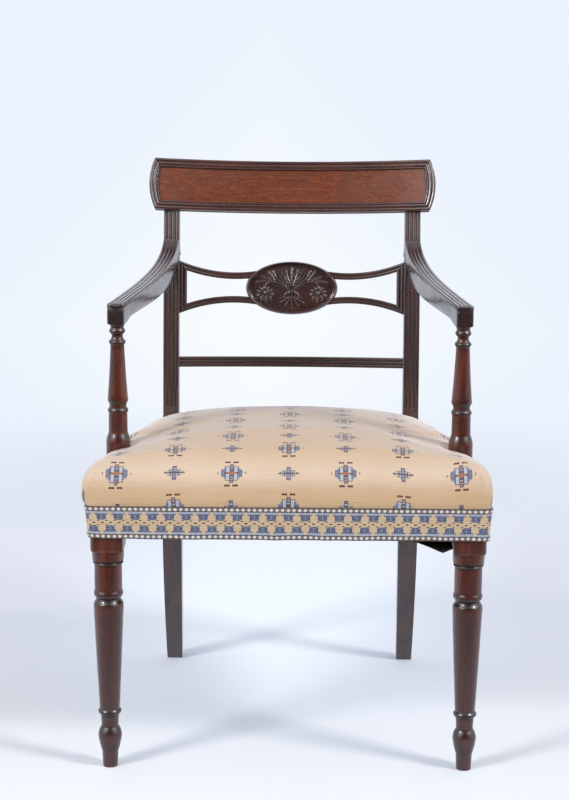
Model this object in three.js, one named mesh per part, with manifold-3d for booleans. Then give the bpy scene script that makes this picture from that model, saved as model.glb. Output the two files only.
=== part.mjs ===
import * as THREE from 'three';
import { mergeVertices } from 'three/addons/utils/BufferGeometryUtils.js';
import Module from 'manifold-3d';

// An open armchair in mahogany with a carved oval tablet in its back.
// Lengths are in millimetres. +X is to the right of someone who faces the chair, the chair faces -Y
// and +Z is up. Left and right in the names are as that person sees them. While it is built, y is
// measured from the line through the centres of the front legs, and z from the floor.

// Fit of the joints
const fit = 0.3;                  // clearance between pieces that touch
const overlap = 2;                // how far two shapes of one piece run into each other
const overrun = 30;               // how far a cutting shape runs past what it cuts
const weldTolerance = 0.0005;     // points nearer than this are one point

// Whole chair
const crestTopHeight = 838;       // floor to the top of the crest rail, over the posts
const legHalfSpacing = 252;       // middle plane to the centre of a front leg
const postHalfSpacing = 193.3;    // middle plane to the centre of a back post
const postSetback = 414.5;        // front leg centres to the front of the posts at the seat
const backCurveRadius = 750;      // plan curve of the back, hollow to the front

// Front legs
const legBlockHeight = 87;        // square block, from its lower end to the top of the rails
const legTurnedRadius = 22.4;     // largest radius of the turning
const legBlockWidth = 46;         // square block at the seat
const legCornerRadius = 8;        // rounding of its outer corner

// Seat frame
const railTop = 405;              // floor to the top of the seat rails
const railHeight = 65.5;
const railThickness = 27;
const backRailThickness = 22;
const backRailInset = 4.5;        // front of the posts to the front of the back rail
const tenonThickness = 9;
const tenonHeight = 44;
const mortiseWall = 2.3;          // wood between the two tenons in a leg
const sideTenonLength = 22;
const cornerBlockReach = 52;      // length of a corner block along each rail
const cornerBlockHeight = 42;
const cornerBlockDrop = 8;        // below the top of the rails

// Back posts
const postWidth = 25.1;           // above the seat
const legTopWidth = 32;           // back leg at the seat
const legFootWidth = 25.3;
const postTopDepth = 22;          // front to back, under the crest rail
const postSeatDepth = 36;
const legFootDepth = 25;
const postBendRise = 65;          // seat rails' top to where the leg turns into the raked post
const backLean = 57.3;            // setback of the crest rail's top over the bend
const legSweep = 61;              // how far the foot stands behind the bend
const reedStartRise = 40;         // seat rails' top to the lower ends of the reeds
const postWaistRise = 23;         // and to where the post has come down to its upper width
const reedDepth = 1.6;

// Crest rail, measured in its own raked plane
const crestHeight = 81.7;
const crestOverhang = 13.55;      // its corners outside the posts
const crestEndBulge = 8.9;        // of each end, at half height
const crestThickness = 20;
const crestStripWidth = 14;       // reeded border
const crestStripThickness = 5.5;
const crestPanelThickness = 1.5;
const crestProud = 3;             // front of the crest rail before the front of the posts
const crestTenonWidth = 11;
const crestTenonDepth = 9;
const crestTenonHeight = 24;

// Places up the back, as shares of the posts' height between the seat rails and the crest rail
const lowerRailPlaceShare = 0.3145;
const splatPlaceShare = 0.6561;

// Splat
const splatInset = 4;             // its front behind the front of the posts
const splatThickness = 12;
const splatStileWidth = 11.4;
const splatBarWidth = 10.8;
const splatBarNearShare = 0.4476; // of the tablet's half height: bar's place where it is nearest
const splatBarNearRoom = 18.8;    // from the tablet's end to that place
const splatBarRadius = 232;
const tabletHalfWidth = 73.2;
const tabletHalfHeight = 42;
const tabletThickness = 17;
const tabletProud = 2.5;          // tablet's front before the bars' front
const splatReedDepth = 1.5;
const splatTenonLength = 8;
const splatTenonThickness = 5;
const splatTenonWidth = 14;

// Lower back rail
const lowerRailWidth = 16.5;
const lowerRailThickness = 15;
const lowerRailTenonLength = 10;
const lowerRailTenonWidth = 9;
const lowerRailTenonThickness = 7;

// Arms
const armJointDrop = 45.3;        // crest rail to the joint line on the front of the post
const armFrontShare = 0.8137;     // of the joint's height over the seat: top of the front block
const armWidth = 24.4;
const armFrontSetback = 76;       // front leg centres to the front of the arm
const armBlockHeight = 30;
const armBlockLength = 24;
const armNoseRadius = 4;          // rounding of the block's top front edge
const armHousingHeight = 36;      // of the seat cut for the arm in the post
const armHousingDepth = 6;
const armHollow = 7;              // rise of the underside behind the block
const armBlankRise = 15;          // height of the arm's stock over the joint, before it is trimmed

// Arm supports
const supportPlaceShare = 0.686;  // of the rail's thickness: outer face to the support's centre
const supportRadius = 17.3;
const supportTenonRadius = 6;
const supportTopTenon = 14;
const supportBottomTenon = 20;

// Arm screws
const screwDrop = 22;             // below the arm's joint line
const screwBite = 14;             // its length in the arm
const screwShankRadius = 2.2;
const screwHeadRadius = 4.6;
const screwHeadHeight = 3;

// Webbing and base cloth
const webWidth = 50;
const webThickness = 1.5;
const webSlack = 0.2;             // room between strips that cross
const longWebRoom = 48.3;         // back leg to the middle of the nearest strip
const crossWebFrontRoom = 11.7;   // arm supports to the edge of the first strip
const crossWebBackRoom = 44.5;    // posts' front to the middle of the last strip
const webInset = 9;               // end of a strip inside the outer face of a rail
const baseClothThickness = 1;
const baseClothInset = 5;

// Stuffed seat
const stuffingHeight = 39;        // widest place to the shoulder of the seat
const stuffingCrown = 27;         // crown over the shoulder
const stuffingBackDrop = 14.7;    // fall of the shoulder towards the back
const crownSetback = 167;         // front leg centres to the highest place
const shoulderWidth = 55;         // how far in the rounded edge reaches
const coverBottomOffset = 2;      // cover outside the rails, at its lower edge
const coverBandOffset = 5.5;      // at the top of the band
const coverEdgeOffset = 8;        // at the widest place, over the rails
const coverEdgeRise = 3;          // widest place over the rail top
const coverDrop = 0.5;            // lower edge below the rails
const coverInnerGap = 0.4;
const seatPostGap = 0.4;
const bandHeight = 46.5;
const bandRise = 1.5;             // lower edge of the band over that of the cover
const bandThickness = 1.2;

// Cover below
const dustCoverThickness = 0.8;
const dustCoverInset = 4;
const dustCoverSag = 14;          // drop of its loosened corner
const dustCoverLooseLength = 46;

// Fineness of the surfaces
const turnedSides = 16;
const tabletSides = 40;
const reedSteps = 3;

// Heights and places that follow from them
const legTurnedHeight = railTop - legBlockHeight;
const railBottom = railTop - railHeight;
const railMiddle = railTop - railHeight / 2;
const postBendHeight = railTop + postBendRise;
const reedStartHeight = railTop + reedStartRise;
const postWaistHeight = railTop + postWaistRise;
const blockHalf = legBlockWidth / 2;
const railFrontFace = -blockHalf;
const backRailFront = postSetback + backRailInset;
const backRailBack = backRailFront + backRailThickness;
const supportSetback = armFrontSetback + armBlockLength / 2;
const crestHalfWidth = postHalfSpacing + postWidth / 2 + crestOverhang;

// Height of a place up the back.
function placeUp(share) {
  return railTop + share * (crestTopHeight - crestHeight - railTop);
}

const lowerRailHeight = placeUp(lowerRailPlaceShare);
const splatCentreHeight = placeUp(splatPlaceShare);
const armJointHeight = crestTopHeight - crestHeight - armJointDrop;
const armFrontTop = railTop + armFrontShare * (armJointHeight - railTop);
const screwHeight = armJointHeight - screwDrop;

const wasm = await Module();
wasm.setup();

// Solids and meshes

// A closed geometry as a solid that can be joined and cut.
function solidOf(geometry) {
  const bare = geometry.clone();
  bare.deleteAttribute('normal');
  bare.deleteAttribute('uv');
  const merged = mergeVertices(bare, weldTolerance);
  const corners = merged.index.array;
  const kept = [];
  for (let i = 0; i < corners.length; i += 3) {
    const [a, b, c] = [corners[i], corners[i + 1], corners[i + 2]];
    if (a !== b && b !== c && c !== a) kept.push(a, b, c);
  }
  return new wasm.Manifold(new wasm.Mesh({
    numProp: 3,
    vertProperties: Float32Array.from(merged.attributes.position.array),
    triVerts: Uint32Array.from(kept),
  }));
}

function geometryOf(solid) {
  const { vertProperties, triVerts } = solid.getMesh();
  const geometry = new THREE.BufferGeometry();
  geometry.setAttribute('position', new THREE.BufferAttribute(Float32Array.from(vertProperties), 3));
  geometry.setIndex(Array.from(triVerts));
  geometry.computeVertexNormals();
  return geometry;
}

// One geometry with others joined to it and then others cut from it.
function worked(geometry, joined, cut) {
  let solid = solidOf(geometry);
  for (const piece of joined) solid = solid.add(solidOf(piece));
  for (const piece of cut) solid = solid.subtract(solidOf(piece));
  return geometryOf(solid);
}

// Turns every face of a closed geometry outwards, by the sign of its volume.
function facingOut(geometry) {
  const place = geometry.attributes.position;
  const index = geometry.index.array;
  const [a, b, c] = [new THREE.Vector3(), new THREE.Vector3(), new THREE.Vector3()];
  let volume = 0;
  for (let i = 0; i < index.length; i += 3) {
    a.fromBufferAttribute(place, index[i]);
    b.fromBufferAttribute(place, index[i + 1]);
    c.fromBufferAttribute(place, index[i + 2]);
    volume += a.dot(b.cross(c));
  }
  if (volume < 0) {
    for (let i = 0; i < index.length; i += 3) [index[i], index[i + 1]] = [index[i + 1], index[i]];
  }
  geometry.computeVertexNormals();
  return geometry;
}

// The closed skin over a row of rings of points, with each end closed from its middle.
function loft(rings) {
  const count = rings[0].length;
  const points = rings.flat();
  const index = [];
  for (let i = 0; i < rings.length - 1; i++) {
    for (let j = 0; j < count; j++) {
      const [a, b] = [i * count + j, i * count + (j + 1) % count];
      index.push(a, b, b + count, a, b + count, a + count);
    }
  }
  for (const end of [0, rings.length - 1]) {
    const middle = new THREE.Vector3();
    rings[end].forEach((point) => middle.addScaledVector(point, 1 / count));
    points.push(middle);
    for (let j = 0; j < count; j++) {
      const [a, b] = [end * count + j, end * count + (j + 1) % count];
      if (end === 0) index.push(b, a, points.length - 1);
      else index.push(a, b, points.length - 1);
    }
  }
  const geometry = new THREE.BufferGeometry().setFromPoints(points);
  geometry.setIndex(index);
  return facingOut(geometry);
}

function mirrored(geometry) {
  const other = geometry.clone();
  other.scale(-1, 1, 1);
  return facingOut(other.index ? other : mergeVertices(other));
}

function box(low, high) {
  const size = high.map((value, axis) => value - low[axis]);
  const geometry = new THREE.BoxGeometry(...size);
  return geometry.translate(...low.map((value, axis) => value + size[axis] / 2));
}

// An upright prism over a plan outline.
function prism(outline, bottom, top) {
  const shape = outline instanceof THREE.Shape
    ? outline
    : new THREE.Shape(outline.map(([x, y]) => new THREE.Vector2(x, y)));
  const options = { depth: top - bottom, bevelEnabled: false, curveSegments: 4 };
  const geometry = new THREE.ExtrudeGeometry(shape, options);
  return geometry.translate(0, 0, bottom);
}

// An upright slab along a line in plan.
function slab(from, to, thickness, bottom, top) {
  const along = new THREE.Vector2(to[0] - from[0], to[1] - from[1]).normalize();
  const side = [-along.y * thickness / 2, along.x * thickness / 2];
  const outline = [
    [from[0] - side[0], from[1] - side[1]],
    [to[0] - side[0], to[1] - side[1]],
    [to[0] + side[0], to[1] + side[1]],
    [from[0] + side[0], from[1] + side[1]],
  ];
  return prism(outline, bottom, top);
}

// A prism across the chair over an outline of [y, z] points.
function crossPrism(outline, left, right) {
  const geometry = prism(outline, left, right);
  geometry.applyMatrix4(new THREE.Matrix4().set(
    0, 0, 1, 0,
    1, 0, 0, 0,
    0, 1, 0, 0,
    0, 0, 0, 1,
  ));
  return geometry;
}

// Turned work. Each stage is [rise, radius, swell], as shares of the turning's height and largest
// radius: the profile goes up by the rise to the radius, and swells out or hollows in between. The
// more it swells, the more steps it takes.
function turned(startShare, stageShares, height, radius) {
  const profile = [new THREE.Vector2(0, 0), new THREE.Vector2(startShare * radius, 0)];
  const [fewest, most, stepsPerSwell] = [2, 4, 24];
  const total = stageShares.reduce((sum, stage) => sum + stage[0], 0);
  let [level, width] = [0, startShare];
  for (const [rise, nextWidth, swell] of stageShares) {
    const wanted = Math.ceil(Math.abs(swell) * stepsPerSwell) + 1;
    const steps = swell === 0 ? 1 : Math.max(fewest, Math.min(most, wanted));
    for (let k = 1; k <= steps; k++) {
      const t = k / steps;
      const r = width + (nextWidth - width) * t + swell * Math.sin(Math.PI * t);
      profile.push(new THREE.Vector2(r * radius, (level + rise * t) / total * height));
    }
    [level, width] = [level + rise, nextWidth];
  }
  profile.push(new THREE.Vector2(0, height));
  return new THREE.LatheGeometry(profile, turnedSides).rotateX(Math.PI / 2);
}

function cylinder(radius, bottom, top) {
  const geometry = new THREE.CylinderGeometry(radius, radius, top - bottom, turnedSides);
  return geometry.rotateX(Math.PI / 2).translate(0, 0, (top + bottom) / 2);
}

// Heights over the valleys, 0 to 1, of a row of half-round reeds, at even steps across the row.
function reedHeights(count) {
  const steps = count * reedSteps;
  return Array.from({ length: steps + 1 }, (_, k) => {
    const t = (k % reedSteps) / reedSteps;
    return { across: k / steps, height: Math.sqrt(Math.max(0, 1 - (2 * t - 1) ** 2)) };
  });
}

// Side view of the chair

const straightLeanShare = 0.576;    // of the lean: the rest of it grows with the height

// Front of the back post at a height: it leans back above the seat and sweeps back to the foot.
function postFront(z) {
  if (z < postBendHeight) return postSetback + legSweep * ((postBendHeight - z) / postBendHeight) ** 3;
  const rise = (z - postBendHeight) / (crestTopHeight - postBendHeight);
  return postSetback + backLean * (straightLeanShare * rise + (1 - straightLeanShare) * rise ** 2);
}

// Lean of the raked post's front from the upright, in radians.
function postLean(z) {
  const raked = crestTopHeight - postBendHeight;
  const rise = (z - postBendHeight) / raked;
  return Math.atan(backLean / raked * (straightLeanShare + 2 * (1 - straightLeanShare) * rise));
}

function postDepth(z) {
  if (z < railTop) return legFootDepth + (postSeatDepth - legFootDepth) * Math.sin(z / railTop * Math.PI / 2);
  const rise = (z - railTop) / (crestTopHeight - railTop);
  return postSeatDepth + (postTopDepth - postSeatDepth) * Math.sqrt(rise);
}

function backLegWidth(z) {
  if (z < railBottom) return legFootWidth + (legTopWidth - legFootWidth) * (1 - (1 - z / railBottom) ** 2);
  if (z <= railTop) return legTopWidth;
  return Math.max(postWidth, legTopWidth + (postWidth - legTopWidth) * (z - railTop) / postWaistRise);
}

// How far behind the plan curve's place at the posts a point of the back lies.
function backHollow(x) {
  return Math.sqrt(backCurveRadius ** 2 - x ** 2) - Math.sqrt(backCurveRadius ** 2 - postHalfSpacing ** 2);
}

// A frame lying in the raked plane of the back, at a height: x across, y back through it, z up it.
function backFrame(height, inset) {
  const frame = new THREE.Group();
  frame.rotation.x = -postLean(height);
  frame.position.set(0, postFront(height) + inset, height);
  frame.updateMatrix();
  return frame;
}

function inChair(geometry, frame) {
  return geometry.clone().applyMatrix4(frame.matrix);
}

// Bends a flat geometry of the back to the plan curve.
function bent(geometry) {
  const place = geometry.attributes.position;
  for (let i = 0; i < place.count; i++) place.setY(i, place.getY(i) + backHollow(place.getX(i)));
  geometry.computeVertexNormals();
  return geometry;
}

// Front legs

function frontLeg() {
  const startShare = 0.475;
  const stageShares = [
    [0.069, 0.513, 0], [0.072, 0.75, 0.027], [0.047, 0.54, 0.054], [0.053, 0.589, -0.013],
    [0.028, 0.638, 0.125], [0.025, 0.652, 0], [0.434, 0.938, 0.009], [0.028, 0.906, 0.022],
    [0.019, 0.759, -0.022], [0.038, 0.844, 0.116], [0.107, 0.826, 0], [0.022, 0.915, 0.013],
    [0.025, 0.915, 0.022], [0.031, 1, -0.022],
  ];
  const turning = turned(startShare, stageShares, legTurnedHeight + overlap, legTurnedRadius);
  const half = legBlockWidth / 2;
  const outline = new THREE.Shape();
  outline.moveTo(-half, -half);
  outline.lineTo(half - legCornerRadius, -half);
  outline.absarc(half - legCornerRadius, -half + legCornerRadius, legCornerRadius, -Math.PI / 2, 0, false);
  outline.lineTo(half, half);
  outline.lineTo(-half, half);
  outline.closePath();
  const block = prism(outline, legTurnedHeight, railTop);
  const [frontMortise, sideMortise] = [frontTenon(fit), sideFrontTenon(fit)];
  for (const mortise of [frontMortise, sideMortise]) mortise.translate(-legHalfSpacing, 0, 0);
  return worked(turning, [block], [frontMortise, sideMortise]);
}

// Seat frame, its right-hand side where it has two

// Outer face of the side rail, from the middle plane, at a setback.
function railHalfWidth(y) {
  const [front, back] = [legHalfSpacing + blockHalf, postHalfSpacing + postWidth / 2];
  if (y < blockHalf) return front;
  return front + (back - front) * (y - blockHalf) / (postSetback - blockHalf);
}

function sideRailMiddle(y) {
  return railHalfWidth(y) - railThickness / 2;
}

// The arm supports stand on the side rails, under the arms' front blocks.
const supportHalfSpacing = railHalfWidth(supportSetback) - supportPlaceShare * railThickness;

function frontTenon(room) {
  const shoulder = legHalfSpacing - blockHalf - fit;
  const end = sideRailMiddle(blockHalf) - tenonThickness / 2 - mortiseWall;
  const middle = railFrontFace + railThickness / 2;
  return box(
    [shoulder - overlap, middle - tenonThickness / 2 - room, railMiddle - tenonHeight / 2 - room],
    [end + room, middle + tenonThickness / 2 + room, railMiddle + tenonHeight / 2 + room],
  );
}

function sideFrontTenon(room) {
  const [from, to] = [blockHalf + fit + overlap, blockHalf + fit - sideTenonLength - room];
  const slope = sideRailMiddle(postSetback) - sideRailMiddle(blockHalf);
  const at = (y) => [sideRailMiddle(blockHalf) + slope * (y - blockHalf) / (postSetback - blockHalf), y];
  return slab(at(from), at(to), tenonThickness + 2 * room, railMiddle - tenonHeight / 2 - room,
    railMiddle + tenonHeight / 2 + room);
}

function sideBackTenon(room) {
  const [from, to] = [postSetback - fit - overlap, postSetback - fit + sideTenonLength + room];
  return slab([sideRailMiddle(from), from], [sideRailMiddle(to), to], tenonThickness + 2 * room,
    railMiddle - tenonHeight / 2 - room, railMiddle + tenonHeight / 2 + room);
}

function backTenon(room) {
  const shoulder = postHalfSpacing - legTopWidth / 2 - fit;
  const end = sideRailMiddle(postSetback + sideTenonLength) - tenonThickness / 2 - mortiseWall;
  const middle = backRailFront + backRailThickness / 2;
  return box(
    [shoulder - overlap, middle - tenonThickness / 2 - room, railMiddle - tenonHeight / 2 - room],
    [end + room, middle + tenonThickness / 2 + room, railMiddle + tenonHeight / 2 + room],
  );
}

function frontRail() {
  const reach = legHalfSpacing - blockHalf - fit;
  const body = box([-reach, railFrontFace, railBottom], [reach, railFrontFace + railThickness, railTop]);
  return worked(body, [frontTenon(0), mirrored(frontTenon(0))], []);
}

function backRail() {
  const reach = postHalfSpacing - legTopWidth / 2 - fit;
  const body = box([-reach, backRailFront, railBottom], [reach, backRailBack, railTop]);
  return worked(body, [backTenon(0), mirrored(backTenon(0))], []);
}

function sideRail() {
  const [front, back] = [blockHalf + fit, postSetback - fit];
  const outline = [
    [railHalfWidth(front), front], [railHalfWidth(back), back],
    [railHalfWidth(back) - railThickness, back], [railHalfWidth(front) - railThickness, front],
  ];
  const socket = cylinder(supportTenonRadius + fit, railTop - supportBottomTenon - fit, railTop + overrun);
  socket.translate(supportHalfSpacing, supportSetback, 0);
  return worked(prism(outline, railBottom, railTop), [sideFrontTenon(0), sideBackTenon(0)], [socket]);
}

function frontCornerBlock() {
  const top = railTop - cornerBlockDrop;
  const inner = legHalfSpacing - blockHalf - fit;
  const front = railFrontFace + railThickness + fit;
  const behind = blockHalf + fit;
  const side = (y) => railHalfWidth(y) - railThickness - fit;
  const outline = [
    [inner - cornerBlockReach, front], [inner, front], [inner, behind], [side(behind), behind],
    [side(behind + cornerBlockReach), behind + cornerBlockReach],
  ];
  return prism(outline, top - cornerBlockHeight, top);
}

function backCornerBlock() {
  const top = railTop - cornerBlockDrop;
  const back = backRailFront - fit;
  const beside = postHalfSpacing - legTopWidth / 2 - fit;
  const before = postSetback - fit;
  const side = (y) => railHalfWidth(y) - railThickness - fit;
  const outline = [
    [beside - cornerBlockReach, back], [side(before - cornerBlockReach), before - cornerBlockReach],
    [side(before), before], [beside, before], [beside, back],
  ];
  return prism(outline, top - cornerBlockHeight, top);
}

// Back posts

const postReeds = 4;

// A level section of the right-hand post: reeds across the front, flat sides and back.
function postSection(z) {
  const half = backLegWidth(z) / 2;
  const depth = z < reedStartHeight ? 0 : reedDepth;
  const section = reedHeights(postReeds).map(({ across, height }) => new THREE.Vector3(
    postHalfSpacing - half + 2 * half * across, postFront(z) + depth * (1 - height), z,
  ));
  section.push(new THREE.Vector3(postHalfSpacing + half, postFront(z) + postDepth(z), z));
  section.push(new THREE.Vector3(postHalfSpacing - half, postFront(z) + postDepth(z), z));
  return section;
}

// The seat cut in the front of the post for the arm.
function armHousing() {
  const [bottom, top] = [armJointHeight - armHousingHeight, armJointHeight];
  const outline = [
    [postFront(bottom) - overrun, bottom], [postFront(bottom) + armHousingDepth, bottom],
    [postFront(top) + armHousingDepth, top], [postFront(top) - overrun, top],
  ];
  return crossPrism(outline, postHalfSpacing - postWidth, postHalfSpacing + postWidth);
}

// What is cut off the back of the arm's stock: it stops in the seat cut for it, and in front of the
// post below that.
function armBackTrim() {
  const [bottom, top] = [armJointHeight - armHousingHeight + fit, armJointHeight - fit];
  const low = bottom - 2 * armHousingHeight;
  const behind = postFront(top) + 2 * overrun;
  const outline = [
    [postFront(low) - fit, low], [postFront(bottom) - fit, bottom],
    [postFront(bottom) + armHousingDepth - fit, bottom], [postFront(top) + armHousingDepth - fit, top],
    [postFront(top) - overrun, top], [postFront(top) - overrun, top + overrun],
    [behind, top + overrun], [behind, low],
  ];
  return crossPrism(outline, postHalfSpacing - 2 * postWidth, postHalfSpacing + 2 * postWidth);
}

// The crest rail's own frame: its front at the posts, on its lower edge.
const crestBottomHeight = crestTopHeight - crestHeight * Math.cos(postLean(crestTopHeight - crestHeight / 2));
const crestFrame = backFrame(crestBottomHeight, -crestProud);
crestFrame.rotation.x = -postLean(crestTopHeight - crestHeight / 2);
crestFrame.updateMatrix();

// A tenon on the right-hand post's top, into the crest rail.
function crestTenon(room) {
  const middle = crestThickness / 2;
  const [halfWidth, halfDepth] = [crestTenonWidth / 2 + room, crestTenonDepth / 2 + room];
  return box(
    [postHalfSpacing - halfWidth, middle - halfDepth, -overrun],
    [postHalfSpacing + halfWidth, middle + halfDepth, crestTenonHeight + room],
  );
}

function screwFrame() {
  const frame = new THREE.Group();
  frame.rotation.x = Math.PI / 2 - postLean(screwHeight);
  frame.position.set(postHalfSpacing, postFront(screwHeight) + postDepth(screwHeight), screwHeight);
  frame.updateMatrix();
  return frame;
}

// A screw along its own z, with its head's face at the back of the post, through it and into the arm.
function screw(room) {
  const head = screwHeadHeight + room;
  const length = postDepth(screwHeight) - armHousingDepth + screwBite;
  const points = [
    new THREE.Vector2(0, -fit), new THREE.Vector2(screwHeadRadius + room, -fit),
    new THREE.Vector2(screwHeadRadius + room, head / 2), new THREE.Vector2(screwShankRadius + room, head),
    new THREE.Vector2(screwShankRadius + room, length - screwHeadRadius),
    new THREE.Vector2(0, length + room),
  ];
  return new THREE.LatheGeometry(points, turnedSides / 2).rotateX(Math.PI / 2);
}

function backPost() {
  const bottom = crestBottomHeight + overrun / 2;
  const heightShares = [0, 0.05, 0.11, 0.17, 0.23, 0.3, 0.37, 0.45];
  const heights = heightShares.map((share) => share * bottom);
  heights.push(railBottom, railTop, postWaistHeight, reedStartHeight - overlap / 2, reedStartHeight);
  const steps = 7;
  for (let k = 1; k <= steps; k++) heights.push(reedStartHeight + (bottom - reedStartHeight) * k / steps);
  heights.sort((a, b) => a - b);
  const body = loft(heights.map(postSection));
  const underCrest = box(
    [0, -overrun, -fit],
    [legHalfSpacing, 2 * overrun, 2 * overrun],
  );
  const shoulder = worked(body, [], [inChair(underCrest, crestFrame)]);
  const cuts = [sideBackTenon(fit), backTenon(fit), armHousing(), inChair(screw(fit), screwFrame())];
  for (const tenon of splatTenons(fit)) cuts.push(inChair(tenon, splatFrame));
  cuts.push(inChair(lowerRailTenon(fit), lowerRailFrame));
  return worked(shoulder, [inChair(crestTenon(0), crestFrame)], cuts);
}

// Crest rail

// Half the crest rail's width at a level: its ends bulge.
function crestHalfWidthAt(w) {
  const [rise, bulge] = [crestHeight / 2, crestEndBulge];
  const radius = (rise ** 2 + bulge ** 2) / (2 * bulge);
  return crestHalfWidth + Math.sqrt(radius ** 2 - (w - rise) ** 2) - (radius - bulge);
}

// A bent plate in the crest rail's frame, from one level up it to another and from a front to a back,
// that reaches as far to both sides as a function of the level says.
function crestPlate(acrossSteps, upSteps, reach, low, high, front, back) {
  const rings = [];
  for (let i = 0; i <= acrossSteps; i++) {
    const u = 2 * i / acrossSteps - 1;
    const ups = Array.from({ length: upSteps + 1 }, (_, k) => low + (high - low) * k / upSteps);
    const face = (y, levels) => levels.map((w) => new THREE.Vector3(u * reach(w), y, w));
    rings.push([...face(front, ups), ...face(back, [...ups].reverse())]);
  }
  return bent(loft(rings));
}

function crestRail() {
  const body = crestPlate(22, 4, crestHalfWidthAt, 0, crestHeight, 0, crestThickness);
  const mortise = crestTenon(fit);
  return worked(body, [], [mortise, mirrored(mortise)]);
}

function crestPanel() {
  const inset = crestStripWidth + fit;
  const reach = (w) => crestHalfWidthAt(w) - inset;
  return crestPlate(22, 2, reach, inset, crestHeight - inset, -fit - crestPanelThickness, -fit);
}

// Offsets in front of the crest rail of a strip's section, from its outer to its inner edge.
function stripSection() {
  const stripReeds = 3;
  const crown = reedDepth;
  const front = reedHeights(stripReeds).map(({ across, height }) => ({
    across,
    y: -fit - crestStripThickness + crown * (1 - height),
  }));
  return [...front, { across: 1, y: -fit }, { across: 0, y: -fit }];
}

// A strip along the top or bottom edge of the crest rail, mitred at its ends.
function crestLongStrip(isTop) {
  const steps = 18;
  const rings = Array.from({ length: steps + 1 }, (_, i) => stripSection().map(({ across, y }) => {
    const inset = across * crestStripWidth;
    const w = isTop ? crestHeight - inset : inset;
    return new THREE.Vector3((2 * i / steps - 1) * (crestHalfWidthAt(w) - inset - fit), y, w);
  }));
  return bent(loft(rings));
}

// The strip round the bulging right-hand end.
function crestEndStrip() {
  const steps = 6;
  const rings = Array.from({ length: steps + 1 }, (_, i) => stripSection().map(({ across, y }) => {
    const inset = across * crestStripWidth;
    const low = inset + fit / 2;
    const w = low + (crestHeight - 2 * low) * i / steps;
    return new THREE.Vector3(crestHalfWidthAt(w) - inset, y, w);
  }));
  return bent(loft(rings));
}

// Splat

const splatFrame = backFrame(splatCentreHeight, splatInset);
const splatReach = postHalfSpacing - postWidth / 2 - fit;

// Height over the splat's middle line of a bar's outer edge (side 1) or inner edge (side -1).
function splatBarEdge(x, side) {
  const nearPlace = tabletHalfWidth + splatBarNearRoom;
  const drop = Math.sqrt(splatBarRadius ** 2 - (x - nearPlace) ** 2);
  const middle = splatBarNearShare * tabletHalfHeight + splatBarRadius - drop;
  return middle + side * splatBarWidth / 2 * splatBarRadius / drop;
}

const splatEndHalfHeight = splatBarEdge(splatReach, 1);
const splatEndInnerHalf = splatBarEdge(splatReach - splatStileWidth, -1);

// A section through a reeded strip: place across it, 0 to 1, and depth behind its front.
function reededSection(count, thickness, depth) {
  const front = reedHeights(count).map(({ across, height }) => ({ across, y: depth * (1 - height) }));
  return [...front, { across: 1, y: thickness }, { across: 0, y: thickness }];
}

function splatTenons(room) {
  const places = [-1, 1].map((side) => side * (splatEndHalfHeight - splatTenonWidth));
  const [halfWidth, halfThickness] = [splatTenonWidth / 2 + room, splatTenonThickness / 2 + room];
  return places.map((w) => bent(box(
    [splatReach - overlap, splatThickness / 2 - halfThickness, w - halfWidth],
    [splatReach + splatTenonLength + room, splatThickness / 2 + halfThickness, w + halfWidth],
  )));
}

// The right-hand end of the splat, mitred to the bars, with two tenons into the post.
function splatEnd() {
  const steps = 4;
  const section = reededSection(2, splatThickness, splatReedDepth);
  const rings = Array.from({ length: steps + 1 }, (_, i) => section.map(({ across, y }) => {
    const half = splatEndHalfHeight + (splatEndInnerHalf - splatEndHalfHeight) * across;
    return new THREE.Vector3(splatReach - across * splatStileWidth, y, half * (2 * i / steps - 1));
  }));
  return worked(bent(loft(rings)), splatTenons(0), []);
}

// The upper right-hand bar, from the mitre at the end to the edge of the tablet. Its stock starts
// inside the tablet, at a share of the tablet's half width, and the tablet is cut from it.
function splatBar() {
  const steps = 12;
  const hiddenShare = 0.6;
  const section = reededSection(2, splatThickness, splatReedDepth);
  const rings = Array.from({ length: steps + 1 }, (_, i) => section.map(({ across, y }) => {
    const near = tabletHalfWidth * hiddenShare;
    const mitre = splatReach - (1 - across) * splatStileWidth;
    const x = near + (mitre - near) * i / steps;
    return new THREE.Vector3(x, y, splatBarEdge(x, 2 * across - 1) + fit);
  }));
  return worked(bent(loft(rings)), [], [tabletBlank(fit)]);
}

// The outline of the tablet as a plain oval block, larger by some room.
function tabletBlank(room) {
  const blank = new THREE.CylinderGeometry(1, 1, 2 * overrun, tabletSides);
  blank.scale(tabletHalfWidth + room, 1, tabletHalfHeight + room);
  return bent(blank);
}

// The oval tablet: a shallow dome inside a rounded rim, over a plain back.
function splatTablet() {
  const profileShares = [
    [0, 0], [0.97, 0], [1, 0.14], [1, 0.66], [0.985, 0.88], [0.95, 1], [0.915, 0.96], [0.885, 0.8],
    [0.87, 0.68], [0.8, 0.7], [0.55, 0.8], [0.28, 0.86], [0, 0.88],
  ];
  const points = profileShares.map(([r, h]) => new THREE.Vector2(r, -h));
  const tablet = new THREE.LatheGeometry(points, tabletSides);
  tablet.scale(tabletHalfWidth, tabletThickness, tabletHalfHeight);
  tablet.translate(0, tabletThickness - tabletProud, 0);
  return bent(facingOut(mergeVertices(tablet)));
}

// Lower back rail

const lowerRailFrame = backFrame(lowerRailHeight, splatInset);

function lowerRailTenon(room) {
  const [halfWidth, halfThickness] = [lowerRailTenonWidth / 2 + room, lowerRailTenonThickness / 2 + room];
  return bent(box(
    [splatReach - overlap, lowerRailThickness / 2 - halfThickness, -halfWidth],
    [splatReach + lowerRailTenonLength + room, lowerRailThickness / 2 + halfThickness, halfWidth],
  ));
}

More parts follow.
